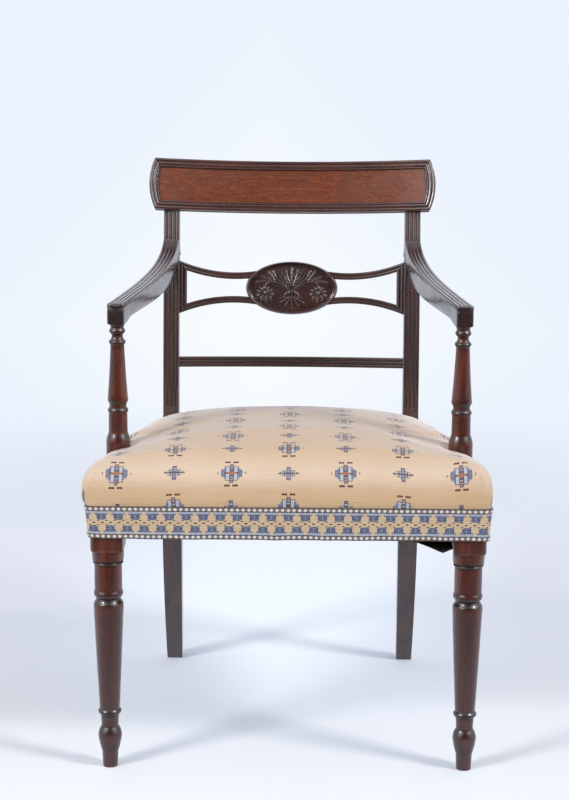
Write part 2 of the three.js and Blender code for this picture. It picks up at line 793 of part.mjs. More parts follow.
function lowerRail() {
  const steps = 16;
  const section = reededSection(3, lowerRailThickness, splatReedDepth);
  const rings = Array.from({ length: steps + 1 }, (_, i) => section.map(({ across, y }) => (
    new THREE.Vector3((2 * i / steps - 1) * splatReach, y, (across - 1 / 2) * lowerRailWidth)
  )));
  return worked(bent(loft(rings)), [lowerRailTenon(0), mirrored(lowerRailTenon(0))], []);
}

// Arms

const armReeds = 4;
const armFrontPlace = [supportHalfSpacing, supportSetback];
const armBackPlace = [postHalfSpacing, postFront(armJointHeight)];

// The arm lies in an upright plane. Its places are measured along that plane from its front end.
const armAlong = new THREE.Vector2(armBackPlace[0] - armFrontPlace[0], armBackPlace[1] - armFrontPlace[1]);
const armReach = armAlong.length() + armBlockLength / 2;
armAlong.normalize();

// Points along the arm's top, from the nose to above the joint, with their outward normals. The sweep
// sets out nearly level, and ends along the leaning post. Its pulls are shares of its reach and rise.
function armTopLine() {
  const noseSteps = 4;
  const nose = Array.from({ length: noseSteps + 1 }, (_, i) => {
    const angle = Math.PI / 2 * i / noseSteps;
    const [ahead, up] = [Math.cos(angle), Math.sin(angle)];
    return {
      place: new THREE.Vector2(armNoseRadius * (1 - ahead), armFrontTop - armNoseRadius * (1 - up)),
      normal: new THREE.Vector2(-ahead, up),
    };
  });
  const [frontReachShare, frontRiseShare, backRiseShare] = [0.6, 0.14, 0.26];
  const rise = armJointHeight + armBlankRise - armFrontTop;
  const end = armReach + postFront(armFrontTop + rise) - postFront(armJointHeight);
  const lean = Math.tan(postLean(armJointHeight)) * rise * (1 - backRiseShare);
  const curve = new THREE.CubicBezierCurve(
    new THREE.Vector2(armNoseRadius, armFrontTop),
    new THREE.Vector2(armReach * frontReachShare, armFrontTop + rise * frontRiseShare),
    new THREE.Vector2(end - lean, armFrontTop + rise * backRiseShare),
    new THREE.Vector2(end, armFrontTop + rise),
  );
  const [steps, crowdingShare] = [18, 0.9];
  const swept = Array.from({ length: steps }, (_, i) => {
    const t = ((i + 1) / steps) ** crowdingShare;
    const tangent = curve.getTangent(t);
    return { place: curve.getPoint(t), normal: new THREE.Vector2(-tangent.y, tangent.x) };
  });
  return [...nose, ...swept];
}

// Points along the arm's underside: the block, a hollow behind it and a long sweep up into the post.
// Shares are of the block's length and the hollow's rise, and then of the arm's reach and that rise.
function armUnderLine(count) {
  const low = armFrontTop - armBlockHeight;
  const at = (s, z) => new THREE.Vector2(s, z);
  const [hollowPullShares, hollowEndShare] = [[1.4, 0.86], 2.6];
  const sweepPullShares = [[0.62, 1.5], [0.86, 1]];
  const housingShare = 0.75;
  const blockEnd = at(armBlockLength, low);
  const hollowPull = at(armBlockLength * hollowPullShares[0], low + armHollow * hollowPullShares[1]);
  const hollowEnd = at(armBlockLength * hollowEndShare, low + armHollow);
  const pulls = sweepPullShares.map(([along, up]) => at(armReach * along, low + armHollow * up));
  const post = at(armReach + armHousingDepth, armJointHeight - armHousingHeight * housingShare);
  const path = new THREE.CurvePath();
  path.add(new THREE.LineCurve(at(0, low), blockEnd));
  path.add(new THREE.QuadraticBezierCurve(blockEnd, hollowPull, hollowEnd));
  path.add(new THREE.CubicBezierCurve(hollowEnd, ...pulls, post));
  path.add(new THREE.LineCurve(post, at(armReach + 2 * armHousingDepth, armJointHeight + armBlankRise)));
  return path.getSpacedPoints(count - 1);
}

// The underside point that each top point's section ends in. Sections stand upright over the block,
// and further on their undersides lie behind their tops, by a share of how far the top has risen.
function armStations() {
  const top = armTopLine();
  const fine = 400;
  const slantShare = 0.35;
  const under = armUnderLine(fine);
  let cursor = 0;
  return top.map(({ place, normal }, i) => {
    const endShare = i / (top.length - 1);
    const wanted = place.x + (place.y - armFrontTop) * slantShare * endShare;
    while (cursor < fine - 1 && under[cursor].x < wanted - weldTolerance) cursor += 1;
    const last = i === top.length - 1;
    return { place, normal, under: last ? under[fine - 1] : under[cursor] };
  });
}

// The right-hand arm. The reeds on its top fade out over the nose.
function arm() {
  const fadeSteps = 4;
  const rings = armStations().map(({ place, normal, under }, i) => {
    const fade = Math.min(1, i / fadeSteps);
    const section = reedHeights(armReeds).map(({ across, height }) => {
      const drop = reedDepth * (1 - height) * fade;
      return [across - 1 / 2, place.x - normal.x * drop, place.y - normal.y * drop];
    });
    section.push([1 / 2, under.x, under.y], [-1 / 2, under.x, under.y]);
    return section.map(([across, s, z]) => armPoint(s, across * armWidth, z));
  });
  const socket = cylinder(supportTenonRadius + fit, armFrontTop - armBlockHeight - overrun,
    armFrontTop - armBlockHeight + supportTopTenon + fit);
  socket.translate(supportHalfSpacing, supportSetback, 0);
  return worked(loft(rings), [], [socket, armBackTrim(), inChair(screw(fit), screwFrame())]);
}

// A point of the right-hand arm: along it from its front end, across it and up.
function armPoint(s, across, z) {
  const along = s - armBlockLength / 2;
  return new THREE.Vector3(
    armFrontPlace[0] + armAlong.x * along + armAlong.y * across,
    armFrontPlace[1] + armAlong.y * along - armAlong.x * across,
    z,
  );
}

function armSupport() {
  const startShare = 1;
  const stageShares = [
    [0.227, 1, 0], [0.045, 0.855, 0.023], [0.023, 0.786, -0.017], [0.123, 0.769, 0],
    [0.036, 0.705, 0.11], [0.023, 0.717, -0.012], [0.023, 0.853, 0], [0.364, 0.566, -0.029],
    [0.041, 0.532, 0.087], [0.027, 0.462, -0.023], [0.05, 0.769, -0.023], [0.018, 0.751, 0],
  ];
  const height = armFrontTop - armBlockHeight - railTop - 2 * fit;
  const turning = turned(startShare, stageShares, height, supportRadius).translate(0, 0, railTop + fit);
  const tenons = [
    cylinder(supportTenonRadius, railTop - supportBottomTenon, railTop + overlap),
    cylinder(supportTenonRadius, railTop + height - overlap, railTop + height + fit + supportTopTenon),
  ];
  return worked(turning, tenons, []);
}

// Webbing, base cloth and the cover below

const webCount = 4;
const webLift = webThickness / 2 + webSlack / 2;
const webMiddle = railTop + fit + webThickness / 2 + webLift;

// A strip that goes over and under those it crosses, and lies on a rail at each end.
function webStrip(start, end, crossings, phase) {
  const flat = webWidth / 2 + fit;
  const rest = railThickness - webInset;
  const places = [[start, -1], [start + rest, -1]];
  crossings.forEach((crossing, k) => {
    const side = k % 2 === 0 ? phase : -phase;
    places.push([crossing - flat, side], [crossing + flat, side]);
  });
  places.push([end - rest, -1], [end, -1]);
  return loft(places.map(([s, side]) => {
    const z = webMiddle + side * webLift;
    return [[-1, -1], [1, -1], [1, 1], [-1, 1]].map(([across, up]) => (
      new THREE.Vector3(s, across * webWidth / 2, z + up * webThickness / 2)
    ));
  }));
}

// Middle lines of the strips one way, evenly spread from the first to the last.
function webPlaces(first, last) {
  return Array.from({ length: webCount }, (_, k) => first + (last - first) * k / (webCount - 1));
}

const longWebReach = postHalfSpacing - legTopWidth / 2 - longWebRoom;
const longWebPlaces = webPlaces(-longWebReach, longWebReach);
const crossWebStart = supportSetback + supportRadius + crossWebFrontRoom + webWidth / 2;
const crossWebPlaces = webPlaces(crossWebStart, postSetback - crossWebBackRoom);

function longWeb(x, phase) {
  const strip = webStrip(railFrontFace + webInset, backRailBack - webInset, crossWebPlaces, phase);
  return strip.rotateZ(Math.PI / 2).translate(x, 0, 0);
}

function crossWeb(y, phase) {
  const reach = railHalfWidth(y + webWidth / 2) - webInset;
  return webStrip(-reach, reach, longWebPlaces, phase).translate(0, y, 0);
}

const baseClothBottom = webMiddle + webLift + webThickness / 2 + fit;

function supportClearance(room) {
  const clearance = cylinder(supportRadius + room, railTop - overrun, railTop + 2 * stuffingHeight);
  return clearance.translate(supportHalfSpacing, supportSetback, 0);
}

// The corner taken out of cloth and stuffing for a back post.
function postClearance(room) {
  const low = box(
    [postHalfSpacing - legTopWidth / 2 - room, postSetback - room, railBottom - overrun],
    [legHalfSpacing + overrun, postSetback + 2 * overrun, postWaistHeight - overlap],
  );
  const high = box(
    [postHalfSpacing - postWidth / 2 - room - overlap / 2, postSetback - room, railTop - overrun],
    [legHalfSpacing + overrun, postSetback + 2 * overrun, railTop + 2 * stuffingHeight],
  );
  return [low, high];
}

function bothSides(pieces) {
  return pieces.flatMap((piece) => [piece, mirrored(piece)]);
}

function baseCloth() {
  const inset = baseClothInset;
  const [front, back] = [railFrontFace + inset, backRailBack - inset];
  const right = [[railHalfWidth(front) - inset, front], [railHalfWidth(blockHalf) - inset, blockHalf],
    [railHalfWidth(back) - inset, back]];
  const left = right.map(([x, y]) => [-x, y]).reverse();
  const cloth = prism([...right, ...left], baseClothBottom, baseClothBottom + baseClothThickness);
  return worked(cloth, [], bothSides([supportClearance(fit), ...postClearance(seatPostGap)]));
}

// A thin cloth tacked under the rails, loose at its right front corner, where it hangs down.
function dustCover() {
  const [acrossSteps, backSteps] = [12, 8];
  const inset = dustCoverInset;
  const [front, back] = [railFrontFace + inset, backRailBack - inset];
  const top = railBottom - fit;
  const loose = [legHalfSpacing - blockHalf - dustCoverLooseLength / 2, front];
  const [crowdingShare, narrowingShare, foldShare] = [1.6, 1.3, 1.5];
  const grid = (lift) => Array.from({ length: backSteps + 1 }, (_, j) => (
    Array.from({ length: acrossSteps + 1 }, (_, i) => {
      const y = front + (back - front) * (j / backSteps) ** crowdingShare;
      const x = (2 * i / acrossSteps - 1) * (railHalfWidth(y) - inset);
      const away = Math.hypot(x - loose[0], (y - loose[1]) * narrowingShare) / dustCoverLooseLength;
      return new THREE.Vector3(x, y, top + lift - dustCoverSag * Math.max(0, 1 - away) ** foldShare);
    })
  ));
  const [upper, lower] = [grid(0), grid(-dustCoverThickness)];
  const rings = upper.map((row, j) => [...row, ...[...lower[j]].reverse()]);
  const leg = box(
    [legHalfSpacing - blockHalf - fit, -blockHalf - overrun, railBottom - overrun],
    [legHalfSpacing + overrun, blockHalf + fit, railTop],
  );
  return worked(loft(rings), [], bothSides([leg, ...postClearance(fit)]));
}

// Stuffed seat and its border

// The seat's outline, offset outwards from the rails and drawn in by an inset. Its corners round off
// further with the inset.
function seatRing(offset, inset, z) {
  const [backOffsetShare, frontInsetShare, frontOffsetShare, backInsetShare] = [0.6, 0.75, 0.5, 0.4];
  const shift = offset - inset;
  const front = railFrontFace - shift;
  const back = backRailBack + offset * backOffsetShare - inset;
  const frontRound = legCornerRadius + inset * frontInsetShare + offset * frontOffsetShare;
  const backRound = legCornerRadius + inset * backInsetShare;
  const half = (y) => railHalfWidth(y) + shift;
  const frontCorner = half(front) - frontRound;
  const backCorner = half(back - backRound) - backRound;
  const sideFrom = Math.max(blockHalf, front + frontRound + fit);
  const sideTo = back - backRound;
  const [rowSteps, cornerSteps, sideSteps] = [4, 4, 8];
  const right = [];
  for (let i = 0; i < rowSteps; i++) right.push([frontCorner * i / rowSteps, front]);
  for (let i = 0; i <= cornerSteps; i++) {
    const angle = Math.PI / 2 * (i / cornerSteps - 1);
    right.push([frontCorner + frontRound * Math.cos(angle), front + frontRound * (1 + Math.sin(angle))]);
  }
  for (let i = 0; i < sideSteps; i++) {
    const y = sideFrom + (sideTo - sideFrom) * i / sideSteps;
    right.push([half(y), y]);
  }
  for (let i = 0; i <= cornerSteps; i++) {
    const angle = Math.PI / 2 * i / cornerSteps;
    right.push([backCorner + backRound * Math.cos(angle), back - backRound * (1 - Math.sin(angle))]);
  }
  for (let i = 1; i <= rowSteps; i++) right.push([backCorner * (1 - i / rowSteps), back]);
  const left = right.slice(1, -1).reverse().map(([x, y]) => [-x, y]);
  return [...right, ...left].map(([x, y]) => new THREE.Vector3(x, y, typeof z === 'function' ? z(x, y) : z));
}

// Height of the stuffing over its widest place, apart from the rounding of its edge: a crown that dies
// away to all sides, and a fall towards the back.
function stuffingRise(x, y) {
  const across = x / (railHalfWidth(y) + coverEdgeOffset);
  const ahead = Math.max(0, crownSetback - y) / (crownSetback - railFrontFace + coverEdgeOffset);
  const behind = Math.max(0, y - crownSetback) / (backRailBack - crownSetback);
  const crownShare = (1 - across ** 2) * Math.max(0, 1 - ahead ** 2 - behind ** 2);
  return stuffingHeight + stuffingCrown * crownShare - stuffingBackDrop * behind ** 2;
}

// How much of the stuffing's height its rounded edge has reached at an inset.
function shoulderShare(inset) {
  const roundness = 2.6;
  const t = Math.min(1, inset / shoulderWidth);
  return (1 - (1 - t) ** roundness) ** (1 / roundness);
}

function seatTop(inset) {
  const edge = railTop + coverEdgeRise;
  return (x, y) => edge + shoulderShare(inset) * stuffingRise(x, y);
}

// A ring drawn towards the middle of the seat.
function drawnIn(ring, share, level) {
  return ring.map(({ x, y }) => {
    const [nx, ny] = [x * share, crownSetback + (y - crownSetback) * share];
    return new THREE.Vector3(nx, ny, level(nx, ny));
  });
}

// The cover's offset from the rails at a height under the band's top.
function coverOffset(z) {
  const [bottom, bandTop] = [railBottom - coverDrop, railBottom - coverDrop + bandRise + bandHeight];
  return coverBottomOffset + (coverBandOffset - coverBottomOffset) * (z - bottom) / (bandTop - bottom);
}

function seatCushion() {
  const bottom = railBottom - coverDrop;
  const bandTop = bottom + bandRise + bandHeight;
  const edge = railTop + coverEdgeRise;
  const underside = baseClothBottom + baseClothThickness + fit;
  const inner = (z) => seatRing(coverInnerGap, 0, z);
  const insetShares = [0, 0.03, 0.1, 0.22, 0.4, 0.65, 1];
  const topShares = [0.8, 0.6, 0.4, 0.2];
  const undersideShare = 0.5;
  const rings = [drawnIn(inner(underside), undersideShare, () => underside)];
  rings.push(inner(underside), inner(bottom));
  rings.push(seatRing(coverBottomOffset, 0, bottom), seatRing(coverBandOffset, 0, bandTop));
  rings.push(seatRing((coverBandOffset + coverEdgeOffset) / 2 + fit, 0, (bandTop + edge) / 2));
  for (const share of insetShares) {
    const inset = share * shoulderWidth;
    rings.push(seatRing(coverEdgeOffset, inset, seatTop(inset)));
  }
  const shoulder = rings[rings.length - 1];
  for (const share of topShares) rings.push(drawnIn(shoulder, share, seatTop(shoulderWidth)));
  return worked(loft(rings), [], bothSides([supportClearance(fit), ...postClearance(seatPostGap)]));
}

// The woven border, round the front and both sides as far as the posts.
function seatBand() {
  const bottom = railBottom - coverDrop + bandRise;
  const levels = [bottom, bottom + bandHeight];
  const rings = levels.map((z) => {
    const offset = coverOffset(z) + fit;
    return [seatRing(offset + bandThickness, 0, z), seatRing(offset, 0, z)];
  });
  const [[lowOuter, lowInner], [highOuter, highInner]] = rings;
  const around = lowOuter.map((_, i) => [lowOuter[i], highOuter[i], highInner[i], lowInner[i]]);
  const turn = lowOuter.length;
  const behind = (i) => lowOuter[i % turn].y > postSetback;
  let start = 0;
  while (!behind(start)) start += 1;
  const last = start - 1;
  while (behind(start)) start += 1;
  const strip = [];
  for (let i = start - 1; i <= last + turn + 1; i++) strip.push(around[i % turn]);
  const back = box(
    [-legHalfSpacing - overrun * 2, postSetback - fit, 0],
    [legHalfSpacing + overrun * 2, postSetback + 3 * overrun, railTop],
  );
  return worked(loft(strip), [], [back]);
}

// Materials

function finish(color, roughness, metalness = 0) {
  return new THREE.MeshStandardMaterial({ color, roughness, metalness });
}

const mahogany = finish('#472823', 0.32);
const figuredMahogany = finish('#8a4528', 0.3);
const beech = finish('#b58a5c', 0.7);
const jute = finish('#b49a6c', 0.95);
const hessian = finish('#a98d62', 0.95);
const wovenCover = finish('#dcc094', 0.9);
const galloon = finish('#c4b096', 0.9);
const blackCambric = finish('#1c1a1c', 0.9);
const screwSteel = finish('#77716a', 0.45, 1);

// The chair

const chair = new THREE.Group();
const placed = new THREE.Group();
chair.add(placed);

function addPiece(name, geometry, material, parent = placed) {
  const mesh = new THREE.Mesh(geometry, material);
  mesh.name = name;
  parent.add(mesh);
  return mesh;
}

function addPair(name, geometry, material, parent = placed) {
  addPiece(`${name}_right`, geometry, material, parent);
  addPiece(`${name}_left`, mirrored(geometry), material, parent);
}

addPair('front_leg', frontLeg().translate(legHalfSpacing, 0, 0), mahogany);
addPair('back_post', backPost(), mahogany);

addPiece('seat_rail_front', frontRail(), beech);
addPiece('seat_rail_back', backRail(), beech);
addPair('seat_rail', sideRail(), beech);
addPair('corner_block_front', frontCornerBlock(), beech);
addPair('corner_block_back', backCornerBlock(), beech);

placed.add(crestFrame);
addPiece('crest_rail', crestRail(), mahogany, crestFrame);
addPiece('crest_panel', crestPanel(), figuredMahogany, crestFrame);
addPiece('crest_strip_top', crestLongStrip(true), mahogany, crestFrame);
addPiece('crest_strip_bottom', crestLongStrip(false), mahogany, crestFrame);
addPair('crest_strip_end', crestEndStrip(), mahogany, crestFrame);

placed.add(splatFrame);
addPair('splat_end', splatEnd(), mahogany, splatFrame);
addPiece('splat_tablet', splatTablet(), mahogany, splatFrame);
const bar = splatBar();
const lowerBar = facingOut(mergeVertices(bar.clone().scale(1, 1, -1)));
addPair('splat_bar_upper', bar, mahogany, splatFrame);
addPair('splat_bar_lower', lowerBar, mahogany, splatFrame);

placed.add(lowerRailFrame);
addPiece('lower_back_rail', lowerRail(), mahogany, lowerRailFrame);

addPair('arm', arm(), mahogany);
const support = armSupport().translate(supportHalfSpacing, supportSetback, 0);
addPair('arm_support', support, mahogany);
const armScrew = inChair(screw(0), screwFrame());
addPair('arm_screw', armScrew, screwSteel);

for (let k = 0; k < webCount; k++) {
  const phase = k % 2 === 0 ? 1 : -1;
  addPiece(`web_long_${k + 1}`, longWeb(longWebPlaces[k], phase), jute);
  addPiece(`web_cross_${k + 1}`, crossWeb(crossWebPlaces[k], -phase), jute);
}
addPiece('base_cloth', baseCloth(), hessian);
addPiece('seat_cushion', seatCushion(), wovenCover);
addPiece('seat_band', seatBand(), galloon);
addPiece('dust_cover', dustCover(), blackCambric);

// The origin is under the middle of the whole chair, on the floor.
chair.updateMatrixWorld(true);
const extent = new THREE.Box3().setFromObject(chair, true);
placed.position.y = -(extent.min.y + extent.max.y) / 2;

export default chair;
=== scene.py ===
import math

import bpy
import numpy as np
from mathutils import Matrix, Vector


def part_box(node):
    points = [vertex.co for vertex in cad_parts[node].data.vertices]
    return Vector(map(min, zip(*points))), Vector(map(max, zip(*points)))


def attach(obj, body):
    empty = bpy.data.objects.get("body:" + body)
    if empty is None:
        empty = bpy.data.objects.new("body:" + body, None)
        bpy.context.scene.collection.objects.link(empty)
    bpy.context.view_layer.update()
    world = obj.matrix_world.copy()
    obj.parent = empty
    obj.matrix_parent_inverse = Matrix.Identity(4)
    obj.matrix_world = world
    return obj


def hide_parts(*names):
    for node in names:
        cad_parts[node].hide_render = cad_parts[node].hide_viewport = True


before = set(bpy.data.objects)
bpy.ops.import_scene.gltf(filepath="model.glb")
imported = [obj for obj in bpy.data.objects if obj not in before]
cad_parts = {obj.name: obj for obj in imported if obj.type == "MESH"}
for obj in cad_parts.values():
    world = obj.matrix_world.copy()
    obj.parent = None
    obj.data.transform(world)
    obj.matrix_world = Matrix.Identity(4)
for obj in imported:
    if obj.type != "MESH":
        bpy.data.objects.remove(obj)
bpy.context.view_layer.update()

# A mahogany open armchair with a carved oval tablet in its back and a stuffed seat.
# Lengths are in millimetres: x to the right, y back from the line through the front legs' centres and
# z up from the floor. A mesh is put into the row's frame, in metres, as it is made.
scene = bpy.context.scene
leg_low, leg_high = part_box("front_leg_left")
leg_line = (leg_low.y + leg_high.y) / 2
MM = 0.001

FIT = 0.3  # room between two pieces
FRONT_LEG_X, LEG_R, TURNING_TOP, BLOCK_HALF, BLOCK_LOW = 252, 22.4, 320, 23, 318
POST_X, POST_Y, POST_SWEEP, BEND_Z = 193.3, 414.5, 57.3, 470
RAIL_LOW, RAIL_TOP = 339.5, 405
SUPPORT_X, SUPPORT_Y, SUPPORT_R = 244.997, 88, 17.3
BACK_RADIUS = 750
CREST_TOP, CREST_HIGH, CREST_HALF, STRIP_WIDE = 838, 81.7, 219.4, 14
SPLAT_Z, SPLAT_REACH, SPLAT_END_WIDE, SPLAT_INSET = 635.49, 180.45, 11.4, 4
LOWER_RAIL_Z, LOWER_RAIL_HIGH = 515.48, 16.5
TABLET_HALF_LONG, TABLET_HALF_HIGH, TABLET_THICK, TABLET_BACK_Y = 74.2, 42.9, 17, 14.5
ARM_TOP, ARM_JOINT, ARM_THICK, ARM_WIDE = 654, 711, 30, 24.4
SEAT_HALF, SEAT_FRONT, SEAT_BACK, SEAT_MIDDLE, EDGE_Z = 275, -23, 441, 167, 408
TAPER_START, TAPER_SLOPE = 23, 69.15 / 391.5
BORDER_LOW, BORDER_HIGH = 340.5, 46.5


# --- The camera, at the photograph's height, distance and slight turn

def see_the_chair():
    """A long lens, looking 10.4 degrees down, a hair turned and rolled."""
    down, roll, turn = (math.radians(a) for a in (10.41, 0.36, 0.49))
    camera = bpy.data.objects.new("camera", bpy.data.cameras.new("camera"))
    scene.collection.objects.link(camera)
    camera.data.sensor_width, camera.data.lens = 36, 79.875
    camera.data.clip_start, camera.data.clip_end = 0.05, 60
    place = Matrix.Translation((0, leg_line, 0)) @ Matrix.Rotation(turn, 4, "Z")
    place = place @ Matrix.Translation((-0.0066, -2.4, 0.973)) @ Matrix.Rotation(math.pi / 2 - down, 4, "X")
    camera.matrix_world = place @ Matrix.Rotation(roll, 4, "Z")
    scene.camera = camera


see_the_chair()


# --- Numbers and meshes

def part_way(value, start, end):
    """How far values lie on the way from start to end, kept from 0 to 1."""
    return np.clip((value - start) / (end - start), 0, 1)


def hump(value, width):
    """A smooth hump, 1 at 0, that dies away over a width."""
    return np.exp(-(value / width) ** 2)


def line_up(*values):
    """Points from their coordinates, each repeated as the others need."""
    return np.stack(np.broadcast_arrays(*values), -1)


def run_along(points):
    """Distance along a line of points, from its first."""
    return np.concatenate([[0], np.cumsum(np.linalg.norm(np.diff(points, axis=0), axis=1))])


def grid_faces(rows, columns, closed):
    """Faces of a grid of points, numbered row by row; a closed grid joins its last column to its first."""
    row = np.arange(rows - 1)[:, None]
    column = np.arange(columns if closed else columns - 1)[None, :]
    a, b = row * columns + column, row * columns + (column + 1) % columns
    return np.stack([a, b, b + columns, a + columns], -1).reshape(-1, 4)


def volume_of(points, faces):
    """Signed volume inside the faces, by triple products."""
    corners = points[faces]
    first = np.einsum("ij,ij->i", corners[:, 0], np.cross(corners[:, 1], corners[:, 2]))
    second = np.einsum("ij,ij->i", corners[:, 0], np.cross(corners[:, 2], corners[:, -1]))
    return (first + second).sum() / 6


def with_ends(grid):
    """A grid as one list, then the means of its first and its last row."""
    return np.concatenate([grid.reshape(-1, *grid.shape[2:]), grid[:1].mean(1), grid[-1:].mean(1)])


def skin(rings, hollow=0.0):
    """A closed skin over rings of points, with a fan at each end. hollow, 0 to 1, is how deep in a hollow each
    point lies, for painted shade with dirt; below 0 it is how strong a pale painted highlight on a ridge is."""
    rings = np.asarray(rings, float)
    rows, columns = rings.shape[:2]
    points = with_ends(rings)
    around = np.arange(columns)
    after, last = (around + 1) % columns, (rows - 1) * columns
    start, end = np.full(columns, rows * columns), np.full(columns, rows * columns + 1)
    fans = np.concatenate([line_up(after, around, start, start), line_up(last + around, last + after, end, end)])
    shell = {"points": points, "faces": np.concatenate([grid_faces(rows, columns, True), fans])}
    if volume_of(points, shell["faces"]) < 0:
        shell["faces"] = turned_over(shell["faces"])
    return {**shell, "hollow": with_ends(np.broadcast_to(hollow, (rows, columns)))}


def fans_in(faces):
    """Which faces are triangles, with their last corner given twice."""
    return faces[:, 2] == faces[:, 3]


def turned_over(faces):
    """The same faces seen from the other side."""
    return np.where(fans_in(faces)[:, None], faces[:, [1, 0, 2, 3]], faces[:, [1, 0, 3, 2]])


def mirrored(shell):
    """The same skin on the other side of the chair."""
    return {**shell, "points": shell["points"] * [-1, 1, 1], "faces": turned_over(shell["faces"])}


def new_object(name, points, faces):
    """A mesh object in the scene, its points in metres."""
    mesh = bpy.data.meshes.new(name)
    mesh.from_pydata(points.tolist(), [], faces)
    made = bpy.data.objects.new(name, mesh)
    scene.collection.objects.link(made)
    return made


def drop(made):
    """Takes an object and its mesh out again."""
    mesh = made.data
    bpy.data.objects.remove(made)
    bpy.data.meshes.remove(mesh)


def face_list(faces):
    """Faces as lists of four corners, and then of three."""
    fan = fans_in(faces)
    return faces[~fan].tolist() + faces[fan][:, :3].tolist()


def in_row(points):
    """Points of the design put into the row's frame, in metres."""
    return points * MM + [0, leg_line, 0]


def piece(name, shells, material, nodes, sharp=32, uv=None, ridged=True):
    """One mesh object from skins, standing for its CAD nodes. Edges sharper than an angle stay crisp. uv gives
    each face corner its place in the cloth, and ridged keeps the hollows."""
    starts = np.cumsum([0] + [len(s["points"]) for s in shells])
    faces = []
    for start, shell in zip(starts, shells):
        faces += face_list(shell["faces"] + start)
    made = new_object(name, in_row(np.concatenate([s["points"] for s in shells])), faces)
    mesh = made.data
    if ridged:
        depth = np.concatenate([s["hollow"] for s in shells]).astype(np.float32)
        mesh.attributes.new("hollow", "FLOAT", "POINT").data.foreach_set("value", depth)
    if uv is not None:
        corner = np.zeros(len(mesh.loops), np.int32)
        mesh.loops.foreach_get("vertex_index", corner)
        layer = mesh.uv_layers.new(name="cloth")
        layer.data.foreach_set("uv", uv(mesh, corner).astype(np.float32).ravel())
    mesh.polygons.foreach_set("use_smooth", [True] * len(mesh.polygons))
    mesh.set_sharp_from_angle(angle=math.radians(sharp))
    mesh.materials.append(material)
    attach(made, "root")
    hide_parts(*nodes)
    return made


def pair(name, material, *shells):
    """A right-hand piece of wood and its mirror image."""
    piece(name + "_right_wood", shells, material, [name + "_right"])
    piece(name + "_left_wood", [mirrored(s) for s in shells], material, [name + "_left"])


# --- Materials

def linear(code):
    """An sRGB hex colour as linear red, green and blue with full alpha."""
    parts = [int(code[i:i + 2], 16) / 255 for i in (1, 3, 5)]
    return (*[c / 12.92 if c <= 0.04045 else ((c + 0.055) / 1.055) ** 2.4 for c in parts], 1)


def wire(node, inputs):
    """Gives a node's inputs values or other nodes' outputs."""
    for socket, value in inputs.items():
        if isinstance(value, bpy.types.NodeSocket):
            node.id_data.links.new(value, node.inputs[socket])
        else:
            node.inputs[socket].default_value = value


def add(tree, kind, inputs=None, **settings):
    """Adds a node: settings are its own properties, and inputs go to wire."""
    made = tree.nodes.new(kind)
    for name, value in settings.items():
        setattr(made, name, value)
    wire(made, inputs or {})
    return made


def maths(tree, operation, *values, clamp=False):
    """A number worked out from others."""
    return add(tree, "ShaderNodeMath", dict(enumerate(values)), operation=operation, use_clamp=clamp).outputs[0]


def vectors(tree, operation, *values, out="Vector"):
    """A vector, or the output named, worked out from others."""
    return add(tree, "ShaderNodeVectorMath", dict(enumerate(values)), operation=operation).outputs[out]


def remap(tree, value, start, end, low=0.0, high=1.0, smooth=False):
    """A value's way from start to end as one from low to high."""
    inputs = {"Value": value, "From Min": start, "From Max": end, "To Min": low, "To Max": high}
    kind = "SMOOTHSTEP" if smooth else "LINEAR"
    return add(tree, "ShaderNodeMapRange", inputs, interpolation_type=kind).outputs[0]


def tint(tree, share, under, over):
    """A colour with a share of another over it; each is an output or a hex colour."""
    under, over = (linear(c) if isinstance(c, str) else c for c in (under, over))
    inputs = {"Factor": share, "A": under, "B": over}
    return add(tree, "ShaderNodeMix", inputs, data_type="RGBA").outputs["Result"]


def noise(tree, place, scale, detail, roughness=0.5, distortion=0.0, out=0):
    """Noise in clouds of one over the scale."""
    inputs = {"Vector": place, "Scale": scale, "Detail": detail, "Roughness": roughness, "Distortion": distortion}
    return add(tree, "ShaderNodeTexNoise", inputs).outputs[out]


def stretched(tree, place, scale):
    """A place multiplied by a scale in each direction."""
    return add(tree, "ShaderNodeMapping", {"Vector": place, "Scale": scale}).outputs[0]


def object_place(tree):
    """Where a point lies, in metres."""
    return add(tree, "ShaderNodeTexCoord").outputs["Object"]


def parts_of(tree, vector):
    """A vector's x, y and z."""
    return add(tree, "ShaderNodeSeparateXYZ", {0: vector}).outputs


def bump(tree, height, strength, depth):
    """Relief from a height, at most a depth in mm."""
    inputs = {"Height": height, "Strength": strength, "Distance": depth * MM}
    return add(tree, "ShaderNodeBump", inputs).outputs[0]


def ramp(tree, factor, stops):
    """A colour ramp over a factor; stops are (place, hex colour)."""
    made = add(tree, "ShaderNodeValToRGB", {0: factor})
    made.color_ramp.interpolation = "EASE"
    elements = made.color_ramp.elements
    while len(elements) < len(stops):
        elements.new(0.5)
    for element, (place, code) in zip(elements, stops):
        element.position, element.color = place, linear(code)
    return made.outputs[0]


def blank(name):
    """A new material with its Principled shader and output ready."""
    material = bpy.data.materials.new(name)
    material.use_nodes = True
    tree = material.node_tree
    tree.nodes.clear()
    shader = tree.nodes.new("ShaderNodeBsdfPrincipled")
    add(tree, "ShaderNodeOutputMaterial", {"Surface": shader.outputs[0]})
    return material, tree, shader


